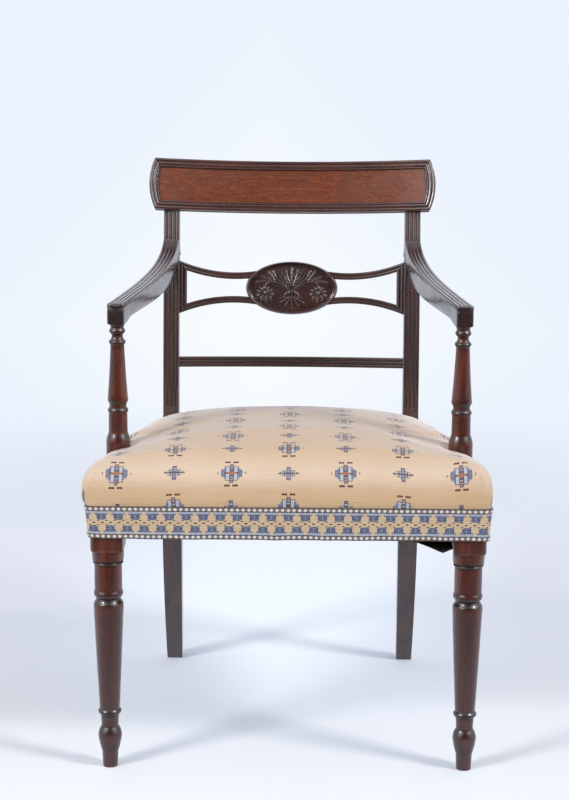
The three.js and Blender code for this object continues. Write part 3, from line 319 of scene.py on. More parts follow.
def polished_wood(name, along, colours, roughness=0.3, coat=1.0, streak=1.0, figure=(150, 14), mottle=0.3,
                  cloudy=0.5, darker_foot=False, ridge_highlight=0.28):
    """French-polished wood: a figure in bands of a length and width along the grain, short dark pores, painted shade
    with dirt in the hollows, pale painted highlights on ridges and a thin gloss coat."""
    material, tree, shader = blank(name)
    place = object_place(tree)

    def drawn_out(length, width, *kind):
        scale = [1 / (width * MM)] * 3
        scale["xyz".index(along)] = 1 / (length * MM)
        return noise(tree, stretched(tree, place, scale), 1.0, *kind)

    # Pores are 0.1 mm wide and 3 mm long; they are drawn 1 mm wide and 14 mm long, so that they show.
    pores = drawn_out(14, 1.0, 3.0, 0.6)
    # Old polish has darkened unevenly, in clouds about 35 mm across, and rubbed in specks of about 3 mm.
    clouds, specks = (noise(tree, place, 1 / (size * MM), detail) for size, detail in ((35, 3.0), (3, 2.0)))
    layers = [
        (remap(tree, pores, 0.42, 0.62, 0.0, 0.42 * streak), "#1F0F0C"),
        (remap(tree, clouds, 0.45, 0.75, 0.0, cloudy), "#261715"),
        (remap(tree, specks, 0.5, 0.66, 0.0, mottle), "#1E100D"),
    ]
    if darker_foot:
        layers.append((remap(tree, parts_of(tree, place)[2], 0.3, 0.19, 0.0, 0.8, smooth=True), "#452B27"))
    # Hollows get painted shade, with dirt. Below 0 the value marks ridges that get a pale painted highlight.
    hollow = add(tree, "ShaderNodeAttribute", attribute_name="hollow").outputs["Fac"]
    shade_and_dirt = remap(tree, hollow, 0.25, 1.0, 0.0, 0.85)
    layers += [(remap(tree, hollow, 0.0, -1.0, 0.0, ridge_highlight), "#A39590"), (shade_and_dirt, "#120A09")]
    colour = ramp(tree, drawn_out(*figure, 5.0, 0.55, 0.6), colours)
    for share, over in layers:
        colour = tint(tree, share, colour, over)
    rough = remap(tree, clouds, 0.3, 0.7, roughness - 0.06, roughness + 0.12)
    # The polish lies a little uneven over the pores and specks.
    dent = bump(tree, maths(tree, "MULTIPLY_ADD", specks, 0.5, pores), 0.16, 0.4)
    wire(shader, {
        "Base Color": colour, "Roughness": maths(tree, "MULTIPLY_ADD", shade_and_dirt, 0.1, rough), "IOR": 1.5,
        "Coat Weight": coat, "Coat Roughness": 0.12, "Coat IOR": 1.52, "Normal": dent, "Coat Normal": dent,
    })
    return material


WARM_MAHOGANY = [(0.25, "#3C1C15"), (0.45, "#5F2A1B"), (0.6, "#78361F"), (0.8, "#8E4727")]
DARK_MAHOGANY = [(0.25, "#30201E"), (0.45, "#442C29"), (0.6, "#523431"), (0.8, "#624039")]
MIDDLE_MAHOGANY = [(0.25, "#3B2421"), (0.45, "#54332D"), (0.6, "#653C33"), (0.8, "#76483B")]
STRIPED_MAHOGANY = [(0.2, "#6A3526"), (0.45, "#83452D"), (0.65, "#965234"), (0.85, "#A56A46")]
PALE_BEECH = [(0.3, "#A67C50"), (0.6, "#B98F60"), (0.8, "#C8A172")]
# Mahogany, French polished and long waxed: a red-brown depth under a gloss that greys where the eye meets it flat.
# The turned legs and supports are worn warm; the back and arms have darkened with handling.
mahogany_turned = polished_wood(
    "mahogany_polished_worn_warm", "z", WARM_MAHOGANY, coat=0.6, mottle=0.35, darker_foot=True,
)
mahogany_up = polished_wood("mahogany_polished_upright", "z", DARK_MAHOGANY)
mahogany_across = polished_wood("mahogany_polished_across", "x", DARK_MAHOGANY)
mahogany_border = polished_wood("mahogany_polished_border", "x", MIDDLE_MAHOGANY)
# The ends' ridges get a stronger pale painted highlight.
mahogany_ends = polished_wood("mahogany_polished_ends", "z", DARK_MAHOGANY, ridge_highlight=0.55)
# The crest rail's own wood is rubbed duller than the strips on its face.
mahogany_crest = polished_wood("mahogany_rubbed_crest", "x", MIDDLE_MAHOGANY, 0.62, 0.0)
mahogany_back = polished_wood("mahogany_polished_front_to_back", "y", DARK_MAHOGANY)
# The crest rail's panel is picked for its stripe: oranger, with a long fine grain.
figured = polished_wood("mahogany_figured_polished", "x", STRIPED_MAHOGANY, 0.32, 0.5, 0.9, (260, 3), cloudy=0.3)
# Beech of the seat frame: pale, sawn and unpolished, with a dull face.
beech = polished_wood("beech_sawn", "x", PALE_BEECH, 0.68, 0.0, 0.35, (120, 9))


def coarse_cloth(name, light, dark, pitch, roughness=0.95):
    """Plain weave of two crossed waves, with uneven thread colour."""
    material, tree, shader = blank(name)
    place = object_place(tree)
    # A wave's bands are 0.314 over its scale apart.
    wave = {"Vector": place, "Scale": 0.314 / (pitch * MM), "Distortion": 0.8, "Detail": 1.0}
    threads = [
        add(tree, "ShaderNodeTexWave", wave, wave_type="BANDS", bands_direction=axis).outputs[1] for axis in "XY"
    ]
    weave = maths(tree, "MULTIPLY", *threads)
    shade = maths(tree, "MULTIPLY_ADD", weave, 0.5, noise(tree, place, 1 / (18 * MM), 4.0))
    wire(shader, {
        "Base Color": ramp(tree, shade, [(0.3, dark), (0.85, light)]), "Roughness": roughness,
        "Specular IOR Level": 0.2, "Normal": bump(tree, weave, 0.5, 0.5),
    })
    return material


# Jute webbing, coarse plain weave about 2 mm a thread; hessian of about 1.5 mm; black cambric, glazed fine cotton.
jute = coarse_cloth("jute_webbing_woven", "#C2A878", "#8E7448", 2.4)
hessian = coarse_cloth("hessian_woven", "#B39A70", "#7F6842", 1.6)
cambric = coarse_cloth("cotton_cambric_dyed_black", "#2A282B", "#121113", 1.0, 0.75)


def turned_steel():
    """Steel of old wood screws: dull grey with brown stain in clouds."""
    material, tree, shader = blank("steel_turned_tarnished")
    stain = noise(tree, object_place(tree), 1 / (3 * MM), 4.0)
    wire(shader, {
        "Base Color": ramp(tree, stain, [(0.35, "#8A857C"), (0.7, "#4F4238")]), "Metallic": 1.0,
        "Roughness": remap(tree, stain, 0.0, 1.0, 0.35, 0.6),
    })
    return material


steel = turned_steel()


def stamp(tree, colour, p, q, marks):
    """Woven marks over a colour: rectangles (p from, p to, q from, q to, colour) in mm."""
    for p0, p1, q0, q1, code in marks:
        within = [
            maths(tree, "COMPARE", value, (start + end) / 2, (end - start) / 2)
            for value, start, end in ((p, p0, p1), (q, q0, q1))
        ]
        colour = tint(tree, maths(tree, "MULTIPLY", *within), colour, code)
    return colour


def repeat(tree, value, pitch, shift=0.0):
    """Distance in mm from the nearest of a row of places a pitch apart, and which place it is."""
    scaled = maths(tree, "MULTIPLY_ADD", value, 1 / (pitch * MM), shift / pitch)
    number = maths(tree, "ROUND", scaled)
    away = maths(tree, "ABSOLUTE", maths(tree, "SUBTRACT", scaled, number))
    return maths(tree, "MULTIPLY", away, float(pitch)), number


def unsteady(tree, grain, reach):
    """Places in the cloth, and their two parts moved about by a noise, as uneven threads would."""
    uv = add(tree, "ShaderNodeUVMap", uv_map="cloth").outputs[0]
    drift = vectors(tree, "SUBTRACT", noise(tree, uv, 1 / (grain * MM), 1.0, out="Color"), (0.5, 0.5, 0.5))
    moved = parts_of(tree, vectors(tree, "MULTIPLY_ADD", drift, reach, uv))
    return uv, moved[0], moved[1]


def plain_weave(tree, u, v, warp, weft):
    """Height of a plain weave from its two thread spacings in mm."""
    waves = [
        maths(tree, "SINE", maths(tree, "MULTIPLY", value, math.tau / (pitch * MM)))
        for value, pitch in ((u, warp), (v, weft))
    ]
    return maths(tree, "MULTIPLY", *waves)


SLATE, PALE_BLUE, MID_BLUE, RUST, BROWN = "#574E5C", "#BFC6D0", "#808BA6", "#B0714E", "#54291F"
# Marks of the two motifs, one quarter of each, in the order in which they lie over each other.
LARGE_MOTIF = [
    (2.7, 8.2, 0, 10.5, PALE_BLUE), (8.2, 14.5, 0, 5.8, MID_BLUE), (8.2, 11, 0, 8, MID_BLUE),
    (2.5, 3.4, 0, 10.5, SLATE), (2.5, 8.8, 9.9, 10.8, SLATE), (7.8, 8.8, 0, 9, SLATE), (13.7, 14.8, 0, 3, SLATE),
    (0, 2.7, 0, 14, SLATE), (0, 11, 0, 1.3, "#7A5648"), (0, 5.6, 0, 1.3, RUST), (0, 1.9, 0, 3.0, RUST),
    (1.8, 9.4, 16, 18.9, BROWN), (5.3, 6.0, 16, 18.9, "#A08060"), (8.2, 14.5, 2.6, 3.4, SLATE),
    (18.6, 20, 0, 1.5, SLATE), (8.2, 9.4, 9.2, 10.7, SLATE), (0, 2.2, 8.5, 9.9, "#CFA890"),
    (0, 2.2, 5.4, 6.8, "#B3B0BE"), (0, 1.0, 11.2, 12.8, "#C9B49A"),
]
SMALL_MOTIF = [
    (2.9, 5.6, 0, 6, "#A9AFC0"), (5.2, 6.8, 0, 4, SLATE), (0, 2.9, 0, 10, SLATE), (0, 14.4, 0, 1.0, SLATE),
    (11, 12, 0, 2.2, SLATE), (7.8, 9.2, 2.6, 4.6, SLATE), (0, 1.9, 4.8, 6.4, "#C2BECD"),
    (0, 1.9, 1.7, 3.1, "#B9B2BE"), (0, 1.4, 8, 8.9, "#A9A0AC"),
]
EDGE_LINE = "#454257"
LOZENGE = [
    (0, 9.4, 12.8, 16.3, "#ABB4C6"), (0, 9.4, 11.5, 12.8, "#4E4A5C"), (0, 6.2, 5.2, 11.6, "#707B98"),
    (0, 6.2, 9.2, 9.9, EDGE_LINE), (0, 6.2, 7.0, 7.7, EDGE_LINE), (5.2, 6.2, 5.2, 11.6, EDGE_LINE),
    (0, 4.6, 4.2, 5.2, EDGE_LINE), (0, 0.6, 5.2, 11.6, "#8C97B4"),
]
DOTS_AND_BRAID = [
    (0, 1.9, 0, 0.9, BROWN), (4.2, 5.83, 2.6, 3.9, BROWN), (0, 6, 16.3, 17.6, "#443B42"),
    (0, 6, 17.6, 21.6, "#7E7270"), (0, 6, 21.6, 23.3, "#4C4146"),
]


def brocaded_cover():
    """Cotton in a fine weft rib: a straw ground with slubs along the weft, and two brocaded motifs in alternate
    places of a 79 by 47 mm lattice."""
    material, tree, shader = blank("cotton_cover_brocaded")
    uv, u, v = unsteady(tree, 1.6, (0.0016, 0.0012, 0.0))
    p, column = repeat(tree, u, 79.2)
    q, row = repeat(tree, v, 47.4, 78.0)
    odd = maths(tree, "FLOORED_MODULO", maths(tree, "ADD", column, row), 2.0)
    # Slubs run along the weft: 1.2 mm thick and about 60 mm long.
    slub = noise(tree, stretched(tree, uv, (1 / 0.06, 1 / 0.0012, 1)), 1.0, 3.0, 0.6)
    ground = ramp(tree, slub, [(0.3, "#CEAB82"), (0.52, "#D6B690"), (0.75, "#DDC3A5")])
    # The cloth has yellowed and greyed in clouds about 90 mm across.
    ground = tint(tree, remap(tree, noise(tree, uv, 1 / 0.09, 3.0), 0.4, 0.75, 0.0, 0.4), ground, "#CBA67B")
    # A painted sheen pales the cloth where it is seen nearly edge on.
    edge_on = add(tree, "ShaderNodeLayerWeight", {"Blend": 0.5}).outputs["Facing"]
    painted_sheen = maths(tree, "MULTIPLY", maths(tree, "POWER", edge_on, 3.2), 0.9)
    ground = tint(tree, painted_sheen, ground, "#F6EBE4")
    # A painted highlight pales the cloth in a band along the bulge of its edge, 436 mm up.
    above = maths(tree, "ABSOLUTE", maths(tree, "SUBTRACT", parts_of(tree, object_place(tree))[2], 0.436))
    ground = tint(tree, remap(tree, above, 0.0, 0.035, 0.32, 0.0, smooth=True), ground, "#F6ECE4")
    colour = tint(tree, odd, *(stamp(tree, ground, p, q, motif) for motif in (LARGE_MOTIF, SMALL_MOTIF)))
    # The brocading wefts float over dark binding threads, 1.9 mm apart, that show more as the cloth turns away.
    phase = maths(tree, "COSINE", maths(tree, "MULTIPLY", u, math.tau / (1.9 * MM)))
    bound = maths(tree, "MULTIPLY", remap(tree, phase, 0.1, 0.8), remap(tree, edge_on, 0.3, 0.8, 0.15, 0.4))
    bound = maths(tree, "MULTIPLY", bound, vectors(tree, "DISTANCE", colour, ground, out="Value"))
    bound = maths(tree, "MULTIPLY", bound, 4.0, clamp=True)
    colour = tint(tree, bound, colour, "#5A4F5E")
    # The pale wefts sink between the others seen edge on, and the dark lines stay.
    pale = remap(tree, add(tree, "ShaderNodeRGBToBW", {0: colour}).outputs[0], 0.1, 0.24)
    sunk = maths(tree, "MULTIPLY", remap(tree, edge_on, 0.35, 0.8, 0.0, 0.65), pale)
    # Threads are 0.5 mm apart; they are drawn 1.1 mm apart, so that they show.
    raised = maths(tree, "MULTIPLY_ADD", slub, 1.5, plain_weave(tree, u, v, 1.6, 1.1))
    wire(shader, {
        "Base Color": tint(tree, sunk, colour, ground), "Roughness": 0.5, "Specular IOR Level": 0.5,
        "Sheen Weight": 0.85, "Sheen Roughness": 0.3, "Sheen Tint": linear("#FFF6F4"),
        "Normal": bump(tree, raised, 0.3, 0.25),
    })
    return material


def woven_border():
    """Woven galloon: a straw middle, stepped blue lozenges hanging from each edge braid, staggered, dots between
    them, and a plaited dark braid with white pips at each edge."""
    material, tree, shader = blank("cotton_galloon_woven")
    uv, u, v = unsteady(tree, 1.8, (0.0018, 0.0013, 0.0))
    level = maths(tree, "MULTIPLY", maths(tree, "ABSOLUTE", v), 1000.0)
    slub = noise(tree, stretched(tree, uv, (1 / 0.03, 1 / 0.001, 1)), 1.0, 3.0)
    ground = ramp(tree, slub, [(0.3, "#CDB292"), (0.7, "#DEC9AC")])
    rows = [stamp(tree, ground, repeat(tree, u, 23.4, shift)[0], level, LOZENGE) for shift in (0.0, 11.7)]
    colour = tint(tree, maths(tree, "LESS_THAN", v, 0.0), *rows)
    colour = stamp(tree, colour, repeat(tree, u, 11.65)[0], level, DOTS_AND_BRAID)
    # Pips of the edge braid: ovals 5 by 4 mm, 7.75 mm apart.
    across = maths(tree, "SUBTRACT", level, 19.6)
    oval = add(tree, "ShaderNodeCombineXYZ", {0: repeat(tree, u, 7.75)[0], 1: across}).outputs[0]
    reach = vectors(tree, "LENGTH", vectors(tree, "MULTIPLY", oval, (0.92, 1.0, 0.0)), out="Value")
    pip = remap(tree, reach, 1.7, 2.5, 1.0, 0.0)
    colour = tint(tree, pip, colour, "#E8E2D8")
    raised = maths(tree, "MULTIPLY_ADD", pip, 2.5, plain_weave(tree, u, v, 1.4, 1.2))
    wire(shader, {
        "Base Color": tint(tree, maths(tree, "GREATER_THAN", level, 22.6), colour, "#6E625F"), "Roughness": 0.85,
        "Specular IOR Level": 0.25, "Sheen Weight": 0.2, "Normal": bump(tree, raised, 0.5, 0.4),
    })
    return material


cover_cloth = brocaded_cover()
border_cloth = woven_border()


# --- The chair's side view

def post_front(z):
    """Front of the back post: a cubic sweep to the foot below the bend, and a growing lean above it."""
    z = np.asarray(z, float)
    low = POST_Y + 61 * np.clip((BEND_Z - z) / BEND_Z, 0, None) ** 3
    rise = np.clip((z - BEND_Z) / (CREST_TOP - BEND_Z), 0, None)
    return low + POST_SWEEP * (0.576 * rise + 0.424 * rise ** 2)


def post_lean(z):
    """Angle of the post's front from the upright, above the bend."""
    rise = CREST_TOP - BEND_Z
    return math.atan(POST_SWEEP / rise * (0.576 + 2 * 0.424 * (z - BEND_Z) / rise))


def post_depth(z):
    """Depth of the post: a quarter sine up to the seat, then a fall with the root of the height."""
    z = np.asarray(z, float)
    below = 25 + 11 * np.sin(np.minimum(z, RAIL_TOP) / RAIL_TOP * np.pi / 2)
    return below - 14 * np.sqrt(np.clip((z - RAIL_TOP) / (CREST_TOP - RAIL_TOP), 0, None))


def post_width(z):
    """Width of the post: it grows to the seat rail, and draws in above it over 23 mm."""
    z = np.asarray(z, float)
    leg = 25.3 + 6.7 * (1 - (1 - np.minimum(z, RAIL_LOW) / RAIL_LOW) ** 2)
    return np.where(z > RAIL_TOP, np.maximum(25.1, 32 - 6.9 * (z - RAIL_TOP) / 23), leg)


CREST_LEAN_Z = CREST_TOP - CREST_HIGH / 2
CREST_LEAN = post_lean(CREST_LEAN_Z)
CREST_Z = CREST_TOP - CREST_HIGH * math.cos(CREST_LEAN)


def back_hollow(x):
    """How far the bent back's arc lies behind the line between the posts."""
    return np.sqrt(BACK_RADIUS ** 2 - np.asarray(x, float) ** 2) - math.sqrt(BACK_RADIUS ** 2 - POST_X ** 2)


def in_back(x, y, w, low, base_z=SPLAT_Z, inset=SPLAT_INSET, lean_z=None):
    """A skin in the raked and bent back, from places x across, y through and w up it."""
    x, y, w = np.broadcast_arrays(x, y, w)
    lean = post_lean(base_z if lean_z is None else lean_z)
    y = y + back_hollow(x)
    return skin(line_up(
        x, float(post_front(base_z)) + inset + y * math.cos(lean) + w * math.sin(lean),
        base_z - y * math.sin(lean) + w * math.cos(lean),
    ), low)


def on_crest(x, y, w, low=0.0):
    """A skin in the crest rail, which lies 3 mm before the posts' fronts."""
    return in_back(x, y, w, low, CREST_Z, -3, CREST_LEAN_Z)


def half_circle(steps):
    """Shares across a half circle, short of its end, and its height there."""
    turn = (1 - np.cos(np.pi * np.arange(steps) / steps)) / 2
    return turn, np.sqrt(np.clip(1 - (2 * turn - 1) ** 2, 0, None))


def reeds(edges, heights, steps=8):
    """Shares across and heights of half-round reeds between edges."""
    turn, circle = half_circle(steps)
    across = (edges[:-1, None] + np.diff(edges)[:, None] * turn).ravel()
    return np.append(across, 1.0), np.append((circle * np.array(heights)[:, None]).ravel(), 0.0)


def even_reeds(count, steps=8):
    """Reeds of one width and height."""
    return reeds(np.arange(count + 1) / count, [1] * count, steps)


def reeded_section(across, height, front, back, relief):
    """Section of a reeded strip: share across, place through and depth in a valley."""
    y = np.append(front + relief * (1 - height), [back, back])
    return np.append(across, [1, 0]), y, np.append(1 - height, [0, 0])


# --- Turned pieces

def turning(start, stages, height, radius, steps=10):
    """Radius, height and painted shade with dirt of turned work. Each stage (rise, next radius, swell) is a straight
    line with a half sine added, in shares of the height and the largest radius."""
    rises, ends, swells = np.array(stages).T
    starts = np.concatenate([[start], ends[:-1]])
    levels = np.concatenate([[0], np.cumsum(rises)])
    t = np.arange(1, steps + 1) / steps
    r = starts[:, None] + (ends - starts)[:, None] * t + swells[:, None] * np.sin(np.pi * t)
    z = levels[:-1, None] + rises[:, None] * t
    r, z = np.append(start, r.ravel()) * radius, np.append(0, z.ravel()) / levels[-1] * height
    # Painted shade, with dirt and dark polish, lies where the profile changes quickly: its steepness, spread over 9
    # mm.
    even = np.linspace(0, height, 800)
    steep = np.abs(np.gradient(np.interp(even, z, r), even)).clip(0, 1.2)
    window = np.hanning(int(len(even) * 9 / height) | 1)
    spread = np.convolve(np.pad(steep, len(window) // 2, mode="edge"), window / window.sum(), mode="valid")
    return r, z, np.interp(z, even, np.clip(spread * 3.0 - 0.2, 0, 0.9))


def lathe(profile, x, y, low, sides=72):
    """A profile turned about an upright axis."""
    r, z, hollow = (values[:, None] for values in profile)
    angle = np.linspace(0, 2 * np.pi, sides, endpoint=False)
    return skin(line_up(x + r * np.cos(angle), y + r * np.sin(angle), low + z), hollow)


LEG_STAGES = [
    (0.069, 0.513, 0), (0.072, 0.75, 0.027), (0.047, 0.54, 0.054), (0.053, 0.589, -0.013),
    (0.028, 0.638, 0.125), (0.025, 0.652, 0), (0.434, 0.938, 0.009), (0.028, 0.906, 0.022),
    (0.019, 0.759, -0.022), (0.038, 0.86, 0.11), (0.117, 0.86, 0.01), (0.003, 0.92, 0), (0.007, 0.93, 0.03),
    (0.003, 0.9, -0.02), (0.004, 0.97, 0), (0.051, 1, 0.01),
]
SUPPORT_STAGES = [
    (0.227, 1, 0), (0.045, 0.855, 0.023), (0.023, 0.786, -0.017), (0.123, 0.769, 0), (0.036, 0.705, 0.11),
    (0.023, 0.717, -0.012), (0.023, 0.853, 0), (0.364, 0.566, -0.029), (0.006, 0.59, 0), (0.035, 0.52, 0.14),
    (0.03, 0.47, -0.03), (0.008, 0.58, 0), (0.028, 0.6, 0.07), (0.008, 0.54, 0), (0.024, 0.64, -0.02),
]


def leg_block():
    """The block over the turning: a square with its outer front corner rounded and its other edges eased."""
    corners = [(1, -1, 8.0), (1, 1, 1.2), (-1, 1, 1.2), (-1, -1, 1.2)]
    turn = np.linspace(0, np.pi / 2, 7)
    outline = np.concatenate([
        line_up(sx * (BLOCK_HALF - r) + r * np.cos(turn + start), sy * (BLOCK_HALF - r) + r * np.sin(turn + start))
        for (sx, sy, r), start in zip(corners, (-np.pi / 2, 0, np.pi / 2, np.pi))
    ])
    levels = [
        (BLOCK_LOW, 2.2), (BLOCK_LOW + 0.8, 1.2), (BLOCK_LOW + 2, 0.5), (BLOCK_LOW + 4.5, 0), (360, 0), (RAIL_TOP, 0),
    ]
    rings = [np.column_stack([outline * (1 - inset / BLOCK_HALF), np.full(len(outline), z)]) for z, inset in levels]
    return skin(np.array(rings) + [FRONT_LEG_X, 0, 0])


turned_leg = lathe(turning(0.475, LEG_STAGES, TURNING_TOP, LEG_R), FRONT_LEG_X, 0, 0)
pair("front_leg", mahogany_turned, turned_leg, leg_block())


def arm_support():
    """The turned arm support with a round tenon at each end."""
    r, z, hollow = turning(1, SUPPORT_STAGES, ARM_TOP - ARM_THICK - RAIL_TOP - 2 * FIT, SUPPORT_R)
    tenon = [6, 6]
    profile = (
        np.concatenate([tenon, r, tenon]), np.concatenate([[-20, 0], z, [z[-1], z[-1] + 14]]), np.pad(hollow, 2),
    )
    return lathe(profile, SUPPORT_X, SUPPORT_Y, RAIL_TOP + FIT)


pair("arm_support", mahogany_turned, arm_support())


# --- Back posts

def back_post():
    """A post as level sections: reeds across the front from 40 mm over the seat rails, eased corners behind, and
    a top that slants to the crest rail's lower edge."""
    reeds_from, highlight_and_slant_from = 445, 700
    across, height = even_reeds(4)
    crest_y = float(post_front(CREST_Z)) - 3
    levels = np.concatenate([
        np.linspace(0, RAIL_LOW, 26), np.linspace(RAIL_LOW, reeds_from - 0.1, 22)[1:], [reeds_from + 0.2],
        np.linspace(reeds_from + 2, CREST_Z, 44),
    ])[:, None]
    # Round the section from the front's left edge: the reeds, the right side, the back and the left side.
    side = np.linspace(0, 1, 5)[1:] * 0.94
    behind = np.linspace(0.44, -0.44, 5)
    u = np.concatenate([across - 0.5, np.full(5, 0.5), behind, np.full(5, -0.5)])
    deep = np.concatenate([np.zeros(len(across)), side, [0.97], np.ones(5), [0.97], side[::-1]])
    reed = np.concatenate([1 - height, np.zeros(len(u) - len(across))])
    reeded = np.where(levels > reeds_from, 1.0, 0.0) * reed
    z = np.repeat(levels, len(u), 1)
    # The slanted top's heights and depths hang on each other: three rounds settle them.
    for _ in range(3):
        y = post_front(z) + 1.6 * reeded + post_depth(z) * deep
        plane = CREST_Z + (-FIT - (y - crest_y) * math.sin(CREST_LEAN)) / math.cos(CREST_LEAN)
        z = levels + part_way(levels, highlight_and_slant_from, CREST_Z) * (plane - CREST_Z)
    x = POST_X + post_width(z) * u
    # Under the crest rail the reeds' crowns get a pale painted highlight.
    ridge_highlight = part_way(levels, highlight_and_slant_from, highlight_and_slant_from + 20) * part_way(reed, 0.5, 0) * (deep == 0)
    return skin(line_up(x, y, z), np.where(levels > reeds_from, reed ** 1.5, 0.0) - ridge_highlight)


pair("back_post", mahogany_up, back_post())


# --- Crest rail

def crest_half(w):
    """Half the crest rail's width at a level: its ends are bulging arcs."""
    rise, bulge = CREST_HIGH / 2, 8.9
    radius = (rise ** 2 + bulge ** 2) / (2 * bulge)
    return CREST_HALF + np.sqrt(radius ** 2 - (w - rise) ** 2) - (radius - bulge)


def across_evenly(count):
    """Shares from left, -1, to right, 1, one to a row."""
    return np.linspace(-1, 1, count)[:, None]


def crest_body():
    """The bent board behind the crest rail's face: rectangles with eased back edges."""
    up = np.linspace(0, CREST_HIGH, 13)
    w = np.concatenate([up, np.full(4, CREST_HIGH), up[::-1], np.zeros(4)])
    y = np.concatenate([np.zeros(13), [4, 9, 14, 18.5], np.full(13, 20.0), [18.5, 14, 9, 4]])
    y[[17, 29]], w[[17, 29]] = 19.4, (CREST_HIGH - 0.5, 0.5)
    w[[18, 28]] = CREST_HIGH - 1.6, 1.6
    return on_crest(across_evenly(81) * crest_half(w), y, w)


def crest_face():
    """The figured panel, 1.5 mm thick, inside the reeded border."""
    inset = STRIP_WIDE + FIT
    levels = np.linspace(inset, CREST_HIGH - inset, 9)
    w = np.concatenate([levels, levels[::-1]])
    y = np.repeat([-1.5 - FIT, -FIT], 9)
    return on_crest(across_evenly(81) * (crest_half(w) - inset), y, w)


def strip_section():
    """A border strip's section by its inset: three reeds, the inner one half as wide, on a flat back."""
    section = reeds(np.array([0, 0.4, 0.8, 1.0]), [1, 1, 0.6], 10)
    across, y, low = reeded_section(*section, -FIT - 5.5, -FIT, 1.6)
    return across * STRIP_WIDE, y, low


def crest_strip_long(top):
    """A reeded strip along the crest rail's top or bottom edge, mitred at the ends."""
    inset, y, low = strip_section()
    w = CREST_HIGH - inset if top else inset
    return on_crest(across_evenly(121) * (crest_half(w) - inset - FIT), y, w, low ** 1.5)


def crest_strip_end():
    """The reeded strip round the right-hand bulging end, between the mitres."""
    inset, y, low = strip_section()
    start = inset + FIT / 2
    w = start + (CREST_HIGH - 2 * start) * np.linspace(0, 1, 41)[:, None]
    # The reeds' crowns get a pale painted highlight.
    ridge_highlight = part_way(low, 0.3, 0) * (inset < 0.95 * STRIP_WIDE)
    return on_crest(crest_half(w) - inset, y, w, low ** 1.5 - ridge_highlight)


piece("crest_rail_wood", [crest_body()], mahogany_crest, ["crest_rail"])
piece("crest_panel_veneer", [crest_face()], figured, ["crest_panel"])
for edge in ("top", "bottom"):
    name = "crest_strip_" + edge
    piece(name + "_wood", [crest_strip_long(edge == "top")], mahogany_border, [name])
pair("crest_strip_end", mahogany_ends, crest_strip_end())


# --- Splat and lower rail

def bar_edge(x, side):
    """Height of a splat bar's outer (1) or inner (-1) edge: an arc, lowest 92 mm out."""
    radius, half_wide = 232, 5.4
    drop = np.sqrt(radius ** 2 - (x - 92) ** 2)
    return 18.8 + radius - drop + side * half_wide * radius / drop


def splat_section():
    """Section of a splat bar or end: two reeds on a strip 12 mm thick."""
    return reeded_section(*even_reeds(2), 0, 12, 1.5)


def splat_end():
    """The upright end of the splat at the right-hand post, mitred to the bars."""
    across, y, low = splat_section()
    outer, inner = bar_edge(SPLAT_REACH, 1), bar_edge(SPLAT_REACH - SPLAT_END_WIDE, -1)
    w = (outer + (inner - outer) * across) * across_evenly(25)
    return in_back(SPLAT_REACH - across * SPLAT_END_WIDE, y, w, low ** 1.5)


def splat_bar(flip):
    """A curved bar from the tablet to the mitre, above (1) or below (-1) the middle."""
    across, y, low = splat_section()
    near, mitre = 55.0, SPLAT_REACH - (1 - across) * SPLAT_END_WIDE
    x = near + (mitre - near) * np.linspace(0, 1, 61)[:, None]
    return in_back(x, y, (bar_edge(x, 2 * across - 1) + FIT) * flip, low ** 1.5)


def lower_rail():
    """The bent lower rail: three reeds in front, between the posts."""
    across, y, low = reeded_section(*even_reeds(3), 0, 15, 1.5)
    w = (across - 0.5) * LOWER_RAIL_HIGH
    return in_back(across_evenly(101) * SPLAT_REACH, y, w, low ** 1.5, LOWER_RAIL_Z)


pair("splat_end", mahogany_up, splat_end())
pair("splat_bar_upper", mahogany_across, splat_bar(1))
pair("splat_bar_lower", mahogany_across, splat_bar(-1))
piece("lower_back_rail_wood", [lower_rail()], mahogany_across, ["lower_back_rail"])


# Carving of the tablet, its right half. Each stroke is a quadratic curve through (x, y) in mm from the
# tablet's middle: start, pull, end, then its greatest half width and height.
STROKES = [
    ((2, 3), (8, 14), (9.5, 30), 3.0, 3.4), ((1.5, 3), (8, 9), (17, 27), 2.2, 3.0),
    ((1, 2), (3, 7), (5.5, 15), 2.0, 3.4), ((2.5, 0.5), (12, 10), (24, 25), 1.3, 2.6),
    ((4, -0.5), (15, 8), (28, 20), 1.2, 2.2), ((3, -2), (14, 6), (21, 12), 1.3, 1.8),
    ((4, -2), (18, 9), (33, 10), 1.3, 2.6), ((33, 10), (41, 9), (44, 1), 1.3, 2.4),
    ((3, -4.5), (15, 3), (29, 4), 1.1, 1.8), ((2, -5), (8, -6), (13, -15), 2.0, 2.4),
    ((1.5, -4), (5, -6.5), (6.5, -12), 2.0, 2.6), ((3, -13), (12, -16), (23, -17), 1.6, 2.2),
    ((2, -13), (11, -19), (20, -25), 1.6, 2.2), ((1.5, -13), (6, -22), (12, -31), 1.6, 2.2),
    ((30, 8), (39, 16), (50, 19), 2.6, 1.3), ((27, 10), (34, 19), (39, 28), 2.5, 1.3),
    ((36, 9), (48, 11), (58, 9), 2.3, 1.1), ((24, 12), (27, 19), (31, 28), 1.7, 1.1),
]
MIDDLE_STROKES = [
    ((0, 4), (0.3, 18), (0.5, 33), 3.2, 3.8), ((0, -12), (0, -22), (0, -35), 1.7, 2.2),
    ((0, -2), (0, -6), (0, -10), 3.2, 3.2),
]
FLOWER_X, FLOWER_Z = 43, -8
# The tablet's front from its edge to its middle: share of its radius and of its thickness.
TABLET_FRONT = np.array([
    (1.0, 0.66), (0.985, 0.88), (0.965, 1), (0.945, 0.97), (0.925, 0.78), (0.91, 0.6), (0.8, 0.62), (0.55, 0.72),
    (0.28, 0.78), (0, 0.8),
])
TABLET_BACK = np.array([(1.0, 0.5), (1, 0.14), (0.97, 0), (0.5, 0), (0.02, 0)])


